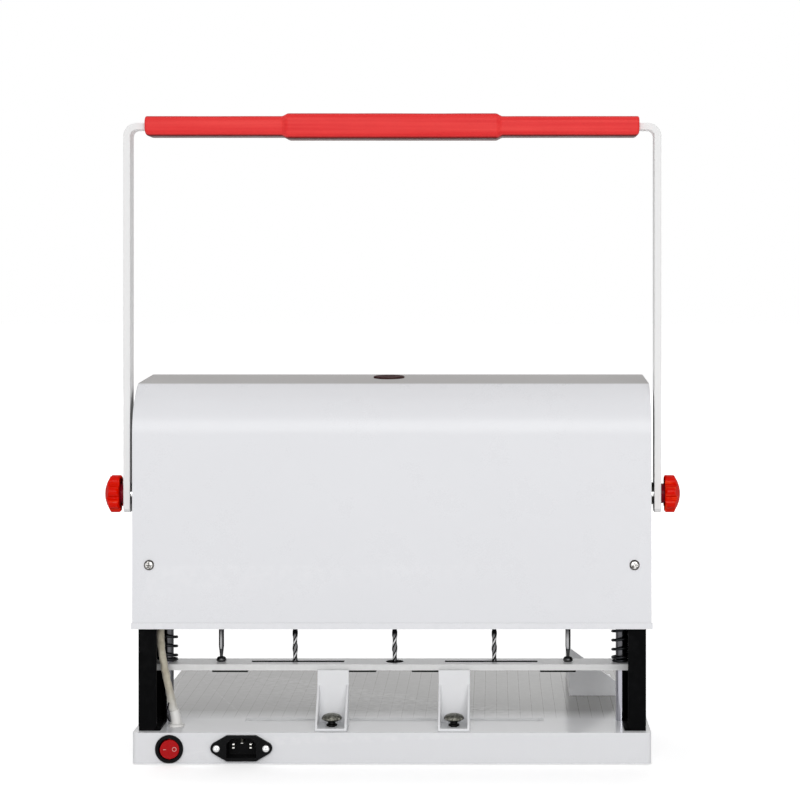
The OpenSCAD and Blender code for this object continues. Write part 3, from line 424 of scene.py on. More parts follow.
# Bare metal with machining lines along one axis
def metalFinish(name, color, roughness, stretch, depth=0.004 * mm, spread=0.16, dust=0.0):
    material, tree, shader = newFinish(name, Metallic=1.0)
    top = tint(tree, "drift", Color=color, Amount=0.16, Scale=60.0)
    if dust:
        top = tint(tree, "dust", Color=top, Amount=dust)
    feed(shader, "Base Color", top)
    addSurface(tree, shader, "brush", depth, Stretch=stretch, Roughness=roughness, Spread=spread)
    return material


# Moulded plastic or rubber
def mouldFinish(name, color, roughness, depth=0.012 * mm, dust=0.0, specular=0.5):
    material, tree, shader = newFinish(name, Specular_IOR_Level=specular)
    top = tint(tree, "drift", Color=color, Amount=0.08, Scale=40.0)
    if dust:
        top = tint(tree, "dust", Color=top, Amount=dust)
    feed(shader, "Base Color", top)
    addSurface(tree, shader, "grain", depth, Scale=1600.0, Roughness=roughness, Spread=0.14)
    return material


# How machining lines run: along one axis, or round an upright part
alongX, alongY = (30.0, 2200.0, 2200.0), (2200.0, 30.0, 2200.0)
turned = (220.0, 220.0, 3600.0)


# Head covers: satin paint, with painted shade making the flat roof darker, a rougher roof, and painted
# shade in narrow gaps
coverSet = {
    "paint": (0.75, 0.755, 0.78), "wearAndHighlight": (0.84, 0.84, 0.86), "roof": (0.49, 0.48, 0.475),
    "flatFrom": (0.985, 0.997), "roughness": 0.28, "roofDull": 0.6, "crevice": 0.85,
}


def coverFinish(settings):
    material, tree, shader = newFinish("coverPaint", Specular_IOR_Level=0.28)
    drift = tint(tree, "drift", Color=settings["paint"], Amount=0.03, Scale=9.0)
    edgeToned = tint(tree, "rubAndHighlight", Color=drift, Rub_Color=settings["wearAndHighlight"], Amount=0.25)
    # Painted shade: faces that look straight up take the darker roof colour
    flat = addRange(tree, facingParts(tree)["Z"], *settings["flatFrom"])
    dull = tint(tree, "drift", Color=settings["roof"], Amount=0.2, Scale=7.0)
    color = addMix(tree, flat, edgeToned, dull)
    # Painted shade in narrow gaps
    shaded = tint(tree, "crevice", Color=color, Depth=settings["crevice"])
    feed(shader, "Base Color", shaded)
    dulled = addMath(tree, "MULTIPLY", flat, settings["roofDull"])
    addSurface(tree, shader, "grain", 0.01 * mm, dulled, Scale=1100.0, Roughness=settings["roughness"],
               Spread=0.06)
    return material


# Guide rods: chrome, darker and duller in streaks above the bar, and with painted shade in streaks over the
# whole left rod
rodSet = {
    "chrome": (0.44, 0.44, 0.485), "darkening": (0.075, 0.075, 0.08), "darkeningDull": 0.12, "leftRodShade": 0.75,
    "darkFrom": barHigh.z - 1 * mm, "fade": 2 * mm, "streaks": 160.0, "streakRange": (0.2, 0.6, 0.8, 1.0),
}


def rodFinish(settings):
    material, tree, shader = newFinish("rodChrome", Metallic=1.0)
    place = pointParts(tree)
    above = addRange(tree, place["Z"], settings["darkFrom"], settings["darkFrom"] + settings["fade"])
    # Painted shade: the whole left rod is darkened
    left = addMath(tree, "MULTIPLY", addMath(tree, "LESS_THAN", place["X"], 0.0), settings["leftRodShade"])
    streaks = addNoise(tree, settings["streaks"], 4.0)
    streaked = addRange(tree, streaks, *settings["streakRange"])
    darkening = addMath(tree, "MULTIPLY", addMath(tree, "MAXIMUM", above, left), streaked)
    drift = tint(tree, "drift", Color=settings["chrome"], Amount=0.16, Scale=60.0)
    feed(shader, "Base Color", addMix(tree, darkening, drift, settings["darkening"]))
    dulled = addMath(tree, "MULTIPLY", darkening, settings["darkeningDull"])
    addSurface(tree, shader, "brush", 0.001 * mm, dulled, Stretch=turned, Roughness=0.1, Spread=0.05)
    return material


# Domed screw heads and spacers: a painted highlight where they look straight out, painted shade round the
# rim and in the cross, and dark patches from a noise
headSet = {"wear": 420.0, "wearRange": (0.40, 0.56), "crossReach": 2.5 * mm, "crossDepth": 0.97}


def headFinish(name, paintedHighlight, rim, rimFrom, rimTo, settings):
    material, tree, shader = newFinish(name, Metallic=1.0)
    facing = facingParts(tree)
    sideways = addMath(tree, "ABSOLUTE", facing["X"])
    straight = addMath(tree, "MAXIMUM", sideways, addMath(tree, "ABSOLUTE", facing["Y"]))
    # Painted highlight where the face looks straight out, painted shade round the rim
    color = addMix(tree, addRange(tree, straight, rimFrom, rimTo), rim, paintedHighlight)
    wearAndHighlight = addRange(tree, addNoise(tree, settings["wear"], 2.0), *settings["wearRange"])
    color = addMix(tree, wearAndHighlight, rim, color)
    # Painted shade in the cross
    shaded = tint(tree, "crevice", Color=color, Reach=settings["crossReach"], Depth=settings["crossDepth"])
    feed(shader, "Base Color", shaded)
    addSurface(tree, shader, "brush", 0.002 * mm, Stretch=turned, Roughness=0.24, Spread=0.1)
    return material


# Hanger pins: a painted highlight along the side that faces the rear, black elsewhere, faded by a painted
# shadow towards the head, with a dark neck
pinSet = {
    "wearAndHighlight": (0.36, 0.36, 0.365), "black": (0.016, 0.016, 0.018), "neck": (0.05, 0.05, 0.052),
    "neckTop": barHigh.z + 11 * mm, "neckEdge": 0.3 * mm, "headShadowTop": barHigh.z + 27 * mm,
    "headShadowFade": 8 * mm, "highlightUnderHead": 0.1, "highlightSide": (-0.3, -0.95), "highlightRange": (0.66, 0.94),
}


def pinFinish(settings):
    material, tree, shader = newFinish("hangerSteel", Metallic=1.0)
    facing = facingParts(tree)
    height = pointParts(tree)["Z"]
    acrossShare, depthShare = settings["highlightSide"]
    # Painted highlight on the rear-facing side, faded by painted shadow towards the head
    highlightSide = addMath(tree, "ADD", addMath(tree, "MULTIPLY", facing["X"], acrossShare),
                      addMath(tree, "MULTIPLY", facing["Y"], depthShare))
    headShadowFrom = settings["headShadowTop"] - settings["headShadowFade"]
    wearAndHighlight = addMath(tree, "MULTIPLY", addRange(tree, highlightSide, *settings["highlightRange"]),
                   addRange(tree, height, headShadowFrom, settings["headShadowTop"], 1.0, settings["highlightUnderHead"]))
    drift = tint(tree, "drift", Color=settings["wearAndHighlight"], Amount=0.2, Scale=120.0)
    color = addMix(tree, wearAndHighlight, settings["black"], drift)
    low = addRange(tree, height, settings["neckTop"] - settings["neckEdge"], settings["neckTop"], 1.0, 0.0)
    feed(shader, "Base Color", addMix(tree, low, color, settings["neck"]))
    addSurface(tree, shader, "brush", 0.002 * mm, Stretch=turned, Roughness=0.24, Spread=0.14)
    return material


# Knobs: deep red plastic, glossy on its outside, with painted highlights on sharp edges, painted shade
# between the lobes, and the hub beside the arm painted dark as shade
knobSet = {
    "red": (0.66, 0.005, 0.0), "wearAndHighlight": (0.95, 0.08, 0.02), "hubShade": (0.16, 0.0, 0.008), "collar": 3.2 * mm,
    "gloss": 0.13, "glossRange": (-0.4, -0.1),
}


def knobFinish(settings):
    material, tree, shader = newFinish("knobRed", Specular_IOR_Level=0.0, Coat_Roughness=0.12)
    toned = tint(tree, "drift", Color=settings["red"], Amount=0.08, Scale=40.0)
    # Painted highlights: sharp outward edges take a bright red second colour
    edgeToned = tint(tree, "rubAndHighlight", Color=toned, Rub_Color=settings["wearAndHighlight"], Amount=0.7)
    # Painted shade between the lobes
    shaded = tint(tree, "crevice", Color=edgeToned, Reach=0.012, Depth=1.0)
    across = pointParts(tree)["X"]
    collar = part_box("right_knob")[0].x + settings["collar"]
    # Painted shade: the hub next to the arm is made dark
    hubShade = addMath(tree, "LESS_THAN", addMath(tree, "ABSOLUTE", across), collar)
    feed(shader, "Base Color", addMix(tree, hubShade, shaded, settings["hubShade"]))
    outward = addMath(tree, "MULTIPLY", facingParts(tree)["X"], addMath(tree, "SIGN", across))
    feed(shader, "Coat Weight", addRange(tree, outward, *settings["glossRange"], 0.0, settings["gloss"]))
    addSurface(tree, shader, "grain", 0.005 * mm, Scale=1600.0, Roughness=0.3, Spread=0.14)
    return material


# Cast thumb screws: grey-green alloy, pitted, with a dark stem
castSet = {
    "light": (0.25, 0.246, 0.215), "dark": (0.09, 0.09, 0.075), "stem": (0.012, 0.012, 0.012),
    "stemTop": 0.62, "stemEdge": (-0.6 * mm, 0.2 * mm), "lumps": 520.0, "lightRange": (0.36, 0.62),
    "roughRange": (0.3, 0.7, 0.5, 0.28), "pits": 0.6 * mm,
}


def castFinish(settings):
    material, tree, shader = newFinish("castAlloy", Metallic=1.0)
    top = surfaceZ + (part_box("left_stop_screw")[1].z - surfaceZ) * settings["stemTop"]
    below, above = settings["stemEdge"]
    lumps = addNoise(tree, settings["lumps"], 4.0, 0.6)
    light = addRange(tree, lumps, *settings["lightRange"])
    color = addMix(tree, light, settings["dark"], settings["light"])
    stem = addRange(tree, pointParts(tree)["Z"], top + below, top + above, 1.0, 0.0)
    feed(shader, "Base Color", addMix(tree, stem, color, settings["stem"]))
    feed(shader, "Roughness", addRange(tree, lumps, *settings["roughRange"]))
    addBump(tree, shader, lumps, settings["pits"])
    return material


# Soft grip: red foam with lengthwise rub marks, darker along its top, and with painted shade on its
# underside
foamSet = {
    "deep": (0.70, 0.026, 0.028), "pale": (0.80, 0.052, 0.048), "under": (0.10, 0.003, 0.003),
    "top": (0.36, 0.018, 0.018), "stretch": (5.0, 330.0, 330.0), "streakRange": (0.3, 0.7),
    "underRange": (-0.62, -0.88), "topRange": (0.8, 0.98),
}


def gripFinish(settings):
    material, tree, shader = newFinish("gripRed", Specular_IOR_Level=0.12)
    streaks = addNoise(tree, 1.0, 4.0, point=stretchedPoint(tree, settings["stretch"]))
    streak = addRange(tree, streaks, *settings["streakRange"])
    color = addMix(tree, streak, settings["deep"], settings["pale"])
    up = facingParts(tree)["Z"]
    # Painted shade: faces that look down are darkened
    color = addMix(tree, addRange(tree, up, *settings["underRange"]), color, settings["under"])
    color = addMix(tree, addRange(tree, up, *settings["topRange"]), color, settings["top"])
    feed(shader, "Base Color", tint(tree, "drift", Color=color, Amount=0.1, Scale=60.0))
    addSurface(tree, shader, "grain", 0.02 * mm, Scale=1900.0, Roughness=0.46, Spread=0.14)
    return material


# Drill steel: lands ground bright, flanks painted black as shade, grey flutes and a black shank end
steelSet = {
    "land": (0.46, 0.46, 0.465), "black": (0.003, 0.003, 0.0035), "flute": (0.14, 0.14, 0.143),
    "flankFrom": (0.0, 0.08), "fluteFrom": (0.97, 0.999), "shank": (96 * mm, 98.5 * mm),
}


def drillFinish(settings):
    material, tree, shader = newFinish("drillSteel", Metallic=1.0)
    depth = addNode(tree, "ShaderNodeAttribute", attribute_name="depth").outputs["Fac"]
    drift = tint(tree, "drift", Color=settings["land"], Amount=0.2, Scale=300.0)
    # Painted shade: the flanks are made black
    flank = addRange(tree, depth, *settings["flankFrom"])
    color = addMix(tree, flank, drift, settings["black"])
    color = addMix(tree, addRange(tree, depth, *settings["fluteFrom"]), color, settings["flute"])
    shank = addRange(tree, pointParts(tree)["Z"], *settings["shank"])
    feed(shader, "Base Color", addMix(tree, shank, color, settings["black"]))
    addSurface(tree, shader, "brush", 0.002 * mm, Stretch=turned, Roughness=0.24, Spread=0.12)
    return material


# Inlet blades: dull brass, with painted highlights as bright bands at their ends
bladeSet = {
    "dull": (0.03, 0.029, 0.025), "paintedHighlight": (0.95, 0.94, 0.9), "lowEnd": 1.1 * mm,
    "highEnd": (3.0 * mm, 4.6 * mm),
}


def bladeFinish(settings):
    material, tree, shader = newFinish("bladeMetal", Metallic=1.0)
    height = addMath(tree, "SUBTRACT", pointParts(tree)["Z"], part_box("inlet_blades")[0].z)
    # Painted highlights: bright bands at the low and high ends
    paintedHighlight = addMath(tree, "MAXIMUM", addMath(tree, "LESS_THAN", height, settings["lowEnd"]),
                     addBetween(tree, height, *settings["highEnd"]))
    drift = tint(tree, "drift", Color=settings["paintedHighlight"], Amount=0.1, Scale=300.0)
    feed(shader, "Base Color", addMix(tree, paintedHighlight, settings["dull"], drift))
    addSurface(tree, shader, "brush", 0.004 * mm, Stretch=alongY, Roughness=0.3)
    return material


# Press bar: satin grey coat, lighter on its top faces as painted light, with painted shade as black in its
# slots and its hole
barSet = {
    "slotNear": 42 * mm, "slotFar": 119 * mm, "slotHalf": 3.5 * mm, "hole": 7.3 * mm, "edge": 0.12 * mm,
    "side": (0.68, 0.68, 0.675), "top": (0.90, 0.90, 0.90), "wearAndHighlight": (0.82, 0.82, 0.82),
    "dark": (0.012, 0.012, 0.012), "topRange": (0.5, 0.9),
}


def barFinish(settings):
    material, tree, shader = newFinish("barMetal", Specular_IOR_Level=0.4)
    place = pointParts(tree)
    across = addMath(tree, "ABSOLUTE", place["X"])
    depth = addMath(tree, "ABSOLUTE", addMath(tree, "SUBTRACT", place["Y"], lineY))
    edge = settings["edge"]
    # Painted shade: black in the slots and the hole
    along = addBetween(tree, across, settings["slotNear"] - edge, settings["slotFar"] + edge)
    slot = addMath(tree, "MULTIPLY", along, addMath(tree, "LESS_THAN", depth, settings["slotHalf"] + edge))
    far = addMath(tree, "SQRT", addMath(tree, "ADD", addMath(tree, "MULTIPLY", across, across),
                                        addMath(tree, "MULTIPLY", depth, depth)))
    dark = addMath(tree, "MAXIMUM", slot, addMath(tree, "LESS_THAN", far, settings["hole"] + edge))
    # Painted light: top faces take a lighter colour than the sides
    upward = addRange(tree, facingParts(tree)["Z"], *settings["topRange"])
    metal = addMix(tree, upward, settings["side"], settings["top"])
    drift = tint(tree, "drift", Color=metal, Amount=0.08, Scale=40.0)
    edgeToned = tint(tree, "rubAndHighlight", Color=drift, Rub_Color=settings["wearAndHighlight"], Amount=0.3)
    feed(shader, "Base Color", addMix(tree, dark, edgeToned, settings["dark"]))
    addSurface(tree, shader, "brush", 0.006 * mm, Stretch=alongX, Roughness=0.3, Spread=0.14)
    return material


# Base: paint, with its top faces lighter as painted light; on top a ruled sheet whose grey and soft rear
# edge are partly painted shadow of the head; both lighter towards +X; painted shade as black inside the
# columns' feet and in narrow gaps
rulingSet = {
    "startsAt": rearY + 52 * mm,
    "softEdge": 36 * mm,
    "pitch": 10 * mm,
    "lineWidth": 0.6 * mm,
    "paint": (0.75, 0.755, 0.775),
    "wearAndHighlight": (0.86, 0.86, 0.87),
    "topLeft": (0.81, 0.815, 0.83),
    "topRight": (0.91, 0.915, 0.93),
    "sheetLeft": (0.235, 0.23, 0.222),
    "sheetRight": (0.33, 0.326, 0.316),
    "palerFrom": -40 * mm,
    "palerTo": 130 * mm,
    "line": (0.15, 0.14, 0.13),
    "foot": (0.012, 0.012, 0.013),
    "flatFrom": 0.9,
    "wear": 130.0,
    "wearRange": (0.25, 0.6, 0.45, 1.0),
    "lineBlur": (0.6, 1.4),
}


def baseFinish(settings):
    material, tree, shader = newFinish("basePaint", Specular_IOR_Level=0.22)
    place = pointParts(tree)
    upward = addMath(tree, "GREATER_THAN", facingParts(tree)["Z"], settings["flatFrom"])
    # The sheet's grey and its soft rear edge are partly painted shadow of the head
    inside = addRange(tree, place["Y"], settings["startsAt"], settings["startsAt"] + settings["softEdge"])
    sheet = addMath(tree, "MULTIPLY", upward, inside)
    turn = addMath(tree, "DIVIDE", place["X"], settings["pitch"])
    away = addMath(tree, "ABSOLUTE", addMath(tree, "SUBTRACT", addMath(tree, "FRACT", turn), 0.5))
    half = settings["lineWidth"] / settings["pitch"] / 2
    line = addRange(tree, away, *(half * blur for blur in settings["lineBlur"]), 1.0, 0.0)
    wear = addNoise(tree, settings["wear"], 4.0)
    wearAndHighlight = addRange(tree, wear, *settings["wearRange"])
    printed = addMath(tree, "MULTIPLY", addMath(tree, "MULTIPLY", line, wearAndHighlight), sheet)
    paler = addRange(tree, place["X"], settings["palerFrom"], settings["palerTo"])
    top = addMix(tree, paler, settings["topLeft"], settings["topRight"])
    # Painted light: top faces take a lighter colour than the side paint
    coat = addMix(tree, upward, settings["paint"], top)
    drift = tint(tree, "drift", Color=coat, Amount=0.05, Scale=9.0)
    paper = addMix(tree, paler, settings["sheetLeft"], settings["sheetRight"])
    color = addMix(tree, sheet, drift, paper)
    color = addMix(tree, printed, color, settings["line"])
    # Painted shade: the top inside the columns' feet is made black
    low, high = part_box("right_column")
    across = addBetween(tree, addMath(tree, "ABSOLUTE", place["X"]), low.x, high.x)
    foot = addMath(tree, "MULTIPLY", across, addBetween(tree, place["Y"], low.y, high.y))
    color = addMix(tree, addMath(tree, "MULTIPLY", foot, upward), color, settings["foot"])
    edgeToned = tint(tree, "rubAndHighlight", Color=color, Rub_Color=settings["wearAndHighlight"], Amount=0.3)
    # Painted shade in narrow gaps
    shaded = tint(tree, "crevice", Color=edgeToned, Reach=0.02, Depth=0.9)
    feed(shader, "Base Color", shaded)
    addSurface(tree, shader, "grain", 0.002 * mm, Scale=700.0, Roughness=0.16, Spread=0.08)
    return material


made = [
    coverFinish(coverSet),
    # leverPaint: painted shade in narrow gaps through its crevice depth
    paintFinish("leverPaint", (0.79, 0.79, 0.79), 0.38, (0.86, 0.86, 0.86), crevice=0.85, specular=0.15),
    paintFinish("gaugePaint", (0.78, 0.785, 0.80), 0.35, (0.86, 0.86, 0.87), specular=0.2),
    baseFinish(rulingSet),
    paintFinish("columnPaint", (0.0022, 0.0023, 0.0025), 0.5, (0.02, 0.02, 0.021), rubAndHighlight=0.2, grain=1500.0,
                depth=0.016 * mm, dust=0.02, dustStart=0.7, specular=0.018),
    rodFinish(rodSet),
    metalFinish("platedSteel", (0.62, 0.63, 0.64), 0.3, turned, dust=0.15),
    metalFinish("screwSteel", (0.66, 0.66, 0.66), 0.22, turned, 0.002 * mm, 0.1),
    metalFinish("blackScrew", (0.010, 0.010, 0.011), 0.4, turned, 0.002 * mm, 0.1),
    metalFinish("gearSteel", (0.34, 0.345, 0.35), 0.34, alongX),
    headFinish("coverScrew", (0.75, 0.74, 0.72), (0.07, 0.065, 0.06), 0.82, 0.97, headSet),
    headFinish("spacerSteel", (0.85, 0.85, 0.85), (0.02, 0.02, 0.02), 0.97, 0.995, headSet),
    metalFinish("pinSteel", (0.13, 0.132, 0.135), 0.24, turned, 0.002 * mm),
    pinFinish(pinSet),
    drillFinish(steelSet),
    metalFinish("springSteel", (0.03, 0.031, 0.034), 0.34, turned, 0.003 * mm, 0.14),
    metalFinish("motorSteel", (0.5, 0.5, 0.51), 0.3, turned),
    barFinish(barSet),
    metalFinish("bushBronze", (0.62, 0.42, 0.2), 0.4, turned),
    bladeFinish(bladeSet),
    mouldFinish("blackPlastic", (0.004, 0.004, 0.0045), 0.4, dust=0.015, specular=0.06),
    mouldFinish("rockerRed", (0.42, 0.003, 0.005), 0.2, depth=0.003 * mm, specular=0.14),
    knobFinish(knobSet),
    gripFinish(foamSet),
    mouldFinish("blackRubber", (0.006, 0.006, 0.006), 0.7, specular=0.05),
    mouldFinish("whitePlastic", (0.76, 0.75, 0.73), 0.42),
    mouldFinish("padPlastic", (0.72, 0.725, 0.74), 0.3, specular=0.22),
    mouldFinish("boardGreen", (0.02, 0.16, 0.07), 0.4),
    paintFinish("badgeMetal", (0.035, 0.012, 0.012), 0.6, (0.5, 0.45, 0.38), rubAndHighlight=0.5, specular=0.02),
    castFinish(castSet),
]
finishes = {material.name: material for material in made}
print("finishes built:", len(finishes))

# Frame nodes: finish, edge radius in millimetres (0 leaves the edges sharp), nodes
dressing = [
    ("basePaint", 0.9, ["base_tray"]),
    ("platedSteel", 0.2, ["bottom_plate", "idler_pins"]),
    ("blackRubber", 0.3, ["rubber_feet"]),
    ("padPlastic", 0.2, ["drill_pad"]),
    ("columnPaint", 0.6, ["left_column", "right_column"]),
    ("gearSteel", 0.12, ["racks", "sector_gears"]),
    ("rodChrome", 0.0, ["guide_rods"]),
    ("platedSteel", 0.3, ["rod_nuts", "carriage_plate", "frame_plates", "gauge_magnets"]),
    ("platedSteel", 0.4, ["tie_bar"]),
    ("blackScrew", 0.15, ["column_screws"]),
    ("blackPlastic", 0.35, ["inlet_housing"]),
    ("bladeMetal", 0.3, ["inlet_blades"]),
    ("screwSteel", 0.12, ["inlet_screws"]),
    ("blackPlastic", 0.3, ["switch_bezel"]),
    ("rockerRed", 0.5, ["rocker"]),
    ("boardGreen", 0.2, ["power_board"]),
    ("whitePlastic", 0.3, ["sleeve_grommet", "terminal_block"]),
    ("bushBronze", 0.3, ["rod_bushings", "shaft_bushes"]),
    ("gearSteel", 0.1, ["left_idler", "right_idler"]),
    ("motorSteel", 0.5, ["left_motor", "centre_motor", "right_motor"]),
    ("pinSteel", 0.2, ["left_chuck", "centre_chuck", "right_chuck"]),
    ("coverPaint", 0.5, ["rear_cover", "front_cover", "left_side_panel", "right_side_panel"]),
    ("coverScrew", 0.15, ["cover_screws"]),
    ("badgeMetal", 0.25, ["badge_plate"]),
    ("platedSteel", 0.6, ["cross_shaft"]),
    ("spacerSteel", 0.3, ["shaft_spacers"]),
    ("leverPaint", 0.7, ["handle_frame"]),
    ("knobRed", 0.7, ["left_knob", "right_knob"]),
    ("barMetal", 0.35, ["press_bar"]),
    ("blackRubber", 0.15, ["press_pads"]),
    ("hangerSteel", 0.2, ["hanger_pins"]),
    ("gaugePaint", 0.5, ["left_stop", "right_stop", "side_gauge"]),
    ("castAlloy", 0.35, ["left_stop_screw", "right_stop_screw"]),
]


def dressNodes(table):
    for finish, radius, names in table:
        for name in names:
            nodes[name].data.materials.clear()
            nodes[name].data.materials.append(finishes[finish])
            if radius:
                roundEdges(nodes[name], radius * mm, edgeSet)


dressNodes(dressing)
print("frame nodes dressed:", sum(len(row[2]) for row in dressing))


def setFinish(piece, finish):
    piece.data.materials.append(finishes[finish])


# Wire sleeve: soft woven tube between base and head
sleeveSet = {
    "corner": Vector((trayLow.x, rearY, surfaceZ)),
    "route": [
        (32, 26, 0), (31.8, 26, 5), (30.8, 26, 10.5), (29, 26, 16), (27.1, 25.7, 25), (25.2, 25.3, 34.5),
        (23.2, 25, 44.5), (21.2, 24.7, 54.5), (19.6, 24.7, 66), (19, 25, 80), (20, 26, 96), (22, 27.5, 108),
        (24, 29, 130), (24, 29, 146)],
    "radii": [3.9 * mm, 3.75 * mm, 3.1 * mm, 3.2 * mm, 3.5 * mm, 3.6 * mm],
    "wrinkle": 0.7 * mm,
    "wrinkleAcross": 1.2,
    "wrinkleAlong": 26,
    "calmEnds": 14,
    "pinch": 0.2,
    "sides": 32,
    "steps": 12,
}
# Moulded collar that the sleeve comes out of, and the thin tie beside it
collarSet = {"height": 13 * mm, "foot": 4.7 * mm, "top": 4.1 * mm, "sides": 40, "sharp": 50}
tieSet = {
    "wire": 0.45 * mm, "sides": 10, "steps": 8,
    "route": [(26.5, 22, 20), (25.3, 22, 15.5), (25, 22, 11), (25.6, 22, 7), (27.6, 22, 4.4)],
}


def addSleeve(settings):
    points = [settings["corner"] + Vector(p) * mm for p in settings["route"]]
    line = smoothLine(points, settings["steps"])
    radii, across = settings["radii"], settings["wrinkleAcross"]

    def radiusAt(share, angle):
        along = share * settings["wrinkleAlong"]
        place = Vector((math.cos(angle) * across, math.sin(angle) * across, along))
        calm = min(1.0, share * settings["calmEnds"], (1 - share) * settings["calmEnds"])
        at = share * (len(radii) - 1)
        first = min(int(at), len(radii) - 2)
        radius = radii[first] + (radii[first + 1] - radii[first]) * smoothStep(at - first)
        return radius + settings["wrinkle"] * calm * (noise.noise(place) - settings["pinch"])

    piece = addPiece("wireSleeve", *skinRings(tubeRings(line, radiusAt, settings["sides"])))
    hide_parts("wire_sleeve")
    return piece, points, line


def addCollar(settings, line):
    low = line[0].z
    part = [point for point in line if point.z - low < settings["height"]]

    def radiusAt(share, angle):
        return settings["foot"] + (settings["top"] - settings["foot"]) * math.sqrt(share)

    piece = addPiece("sleeveCollar", *skinRings(tubeRings(part, radiusAt, settings["sides"])))
    splitEdges(piece, settings["sharp"])
    setFinish(piece, "whitePlastic")
    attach(piece, "base")


def addTie(settings, corner):
    line = smoothLine([corner + Vector(p) * mm for p in settings["route"]], settings["steps"])

    def radiusAt(share, angle):
        return settings["wire"]

    piece = addPiece("sleeveTie", *skinRings(tubeRings(line, radiusAt, settings["sides"])))
    setFinish(piece, "blackPlastic")
    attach(piece, "base")


# Woven cloth: cream with stains, cleaner near the collar
clothSet = {
    "cream": (0.56, 0.52, 0.42), "stain": (0.40, 0.36, 0.27), "clean": (0.66, 0.65, 0.62),
    "cleanUpTo": surfaceZ + 12 * mm, "stainedFrom": surfaceZ + 34 * mm, "stains": 150.0,
    "stainRange": (0.35, 0.7), "weave": 1500.0, "relief": 0.12 * mm, "reliefStrength": 0.7,
}


def sleeveFinish(settings):
    material, tree, shader = newFinish("sleeveCloth", Roughness=0.75, Specular_IOR_Level=0.25,
                                       Sheen_Weight=0.3)
    clean = addRange(tree, pointParts(tree)["Z"], settings["cleanUpTo"], settings["stainedFrom"], 1.0, 0.0)
    stained = addRange(tree, addNoise(tree, settings["stains"], 5.0), *settings["stainRange"])
    color = addMix(tree, stained, settings["cream"], settings["stain"])
    color = addMix(tree, clean, color, settings["clean"])
    feed(shader, "Base Color", tint(tree, "drift", Color=color, Amount=0.2, Scale=320.0))
    values = {"Vector": objectPoint(tree), "Scale": settings["weave"]}
    weave = addNode(tree, "ShaderNodeTexVoronoi", values)
    addBump(tree, shader, weave.outputs["Distance"], settings["relief"], settings["reliefStrength"])
    return material


finishes["sleeveCloth"] = sleeveFinish(clothSet)
sleeve, sleevePoints, sleeveLine = addSleeve(sleeveSet)
setFinish(sleeve, "sleeveCloth")
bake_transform(sleeve)
addCollar(collarSet, sleeveLine)
addTie(tieSet, sleeveSet["corner"])
print("wire sleeve made")


# Springs: wound wire with closed ends
pressSpringSet = {
    "wire": 2.4 * mm, "outer": 17.5 * mm, "turns": 7.0, "closed": 1.15, "closedRise": 1.06, "sides": 14,
    "steps": 40, "startTurn": {-1: 0.69, 1: 0.55}, "finish": "springSteel", "slot": "spring_steel",
}
returnSpringSet = {
    "wire": 1.6 * mm, "outer": 12.0 * mm, "turns": 14.0, "closed": 1.0, "closedRise": 1.06, "sides": 10,
    "steps": 28, "startTurn": {-1: 0.0, 1: 0.0}, "finish": "platedSteel", "slot": "bare_steel",
}


def springLine(settings, centre, low, high, hand):
    radius = (settings["outer"] - settings["wire"]) / 2
    rise = settings["wire"] * settings["closedRise"]
    closed = settings["closed"]
    total = settings["turns"] + 2 * closed
    start, stop = low + settings["wire"] / 2, high - settings["wire"] / 2
    openRise = (stop - start - 2 * closed * rise) / settings["turns"]
    count = int(total * settings["steps"])
    line = []
    for i in range(count + 1):
        turn = total * i / count
        if turn < closed:
            z = start + turn * rise
        elif turn < total - closed:
            z = start + closed * rise + (turn - closed) * openRise
        else:
            z = stop - (total - turn) * rise
        angle = 2 * math.pi * (turn + settings["startTurn"][hand]) * hand
        line.append(Vector((centre.x + radius * math.cos(angle), centre.y + radius * math.sin(angle), z)))
    return line


def addSprings(name, node, settings):
    low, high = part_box(node)
    pieces = []

    def wireRadius(share, angle):
        return settings["wire"] / 2

    for side, label in ((-1, "left"), (1, "right")):
        centre = Vector((side * (high.x - settings["outer"] / 2), (low.y + high.y) / 2, 0))
        line = springLine(settings, centre, low.z, high.z, side)
        piece = addPiece(label + name, *skinRings(tubeRings(line, wireRadius, settings["sides"])))
        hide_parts(node)
        setFinish(piece, settings["finish"])
        pieces.append(piece)
    return pieces


def squashSprings(pieces):
    for piece in pieces:
        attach(piece, "head")
        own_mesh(piece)


def stretchSprings(pieces):
    for piece in pieces:
        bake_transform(piece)


squashSprings(addSprings("PressSpring", "press_springs", pressSpringSet))
stretchSprings(addSprings("ReturnSpring", "return_springs", returnSpringSet))
print("springs wound")


# Twist drills: two flutes with narrow lands, a conical point and a plain shank
drillSet = {
    "lead": 24.0 * mm, "web": 0.78, "flute": 0.71, "steep": 1.45, "round": 0.8, "fit": 0.995, "sides": 96,
    "step": 0.45 * mm, "point": 31.0, "pointSteps": 4, "tip": 0.04, "shankShows": 2 * mm, "runOut": 5 * mm,
    "shoulder": 0.2 * mm, "sharp": 50,
}


def drillRadius(angle, settings):
    wave = abs(math.cos(angle))
    cut = max(0.0, (wave - (1 - settings["flute"])) / settings["flute"])
    return 1 - (1 - settings["web"]) * min(1.0, cut * settings["steep"]) ** settings["round"]


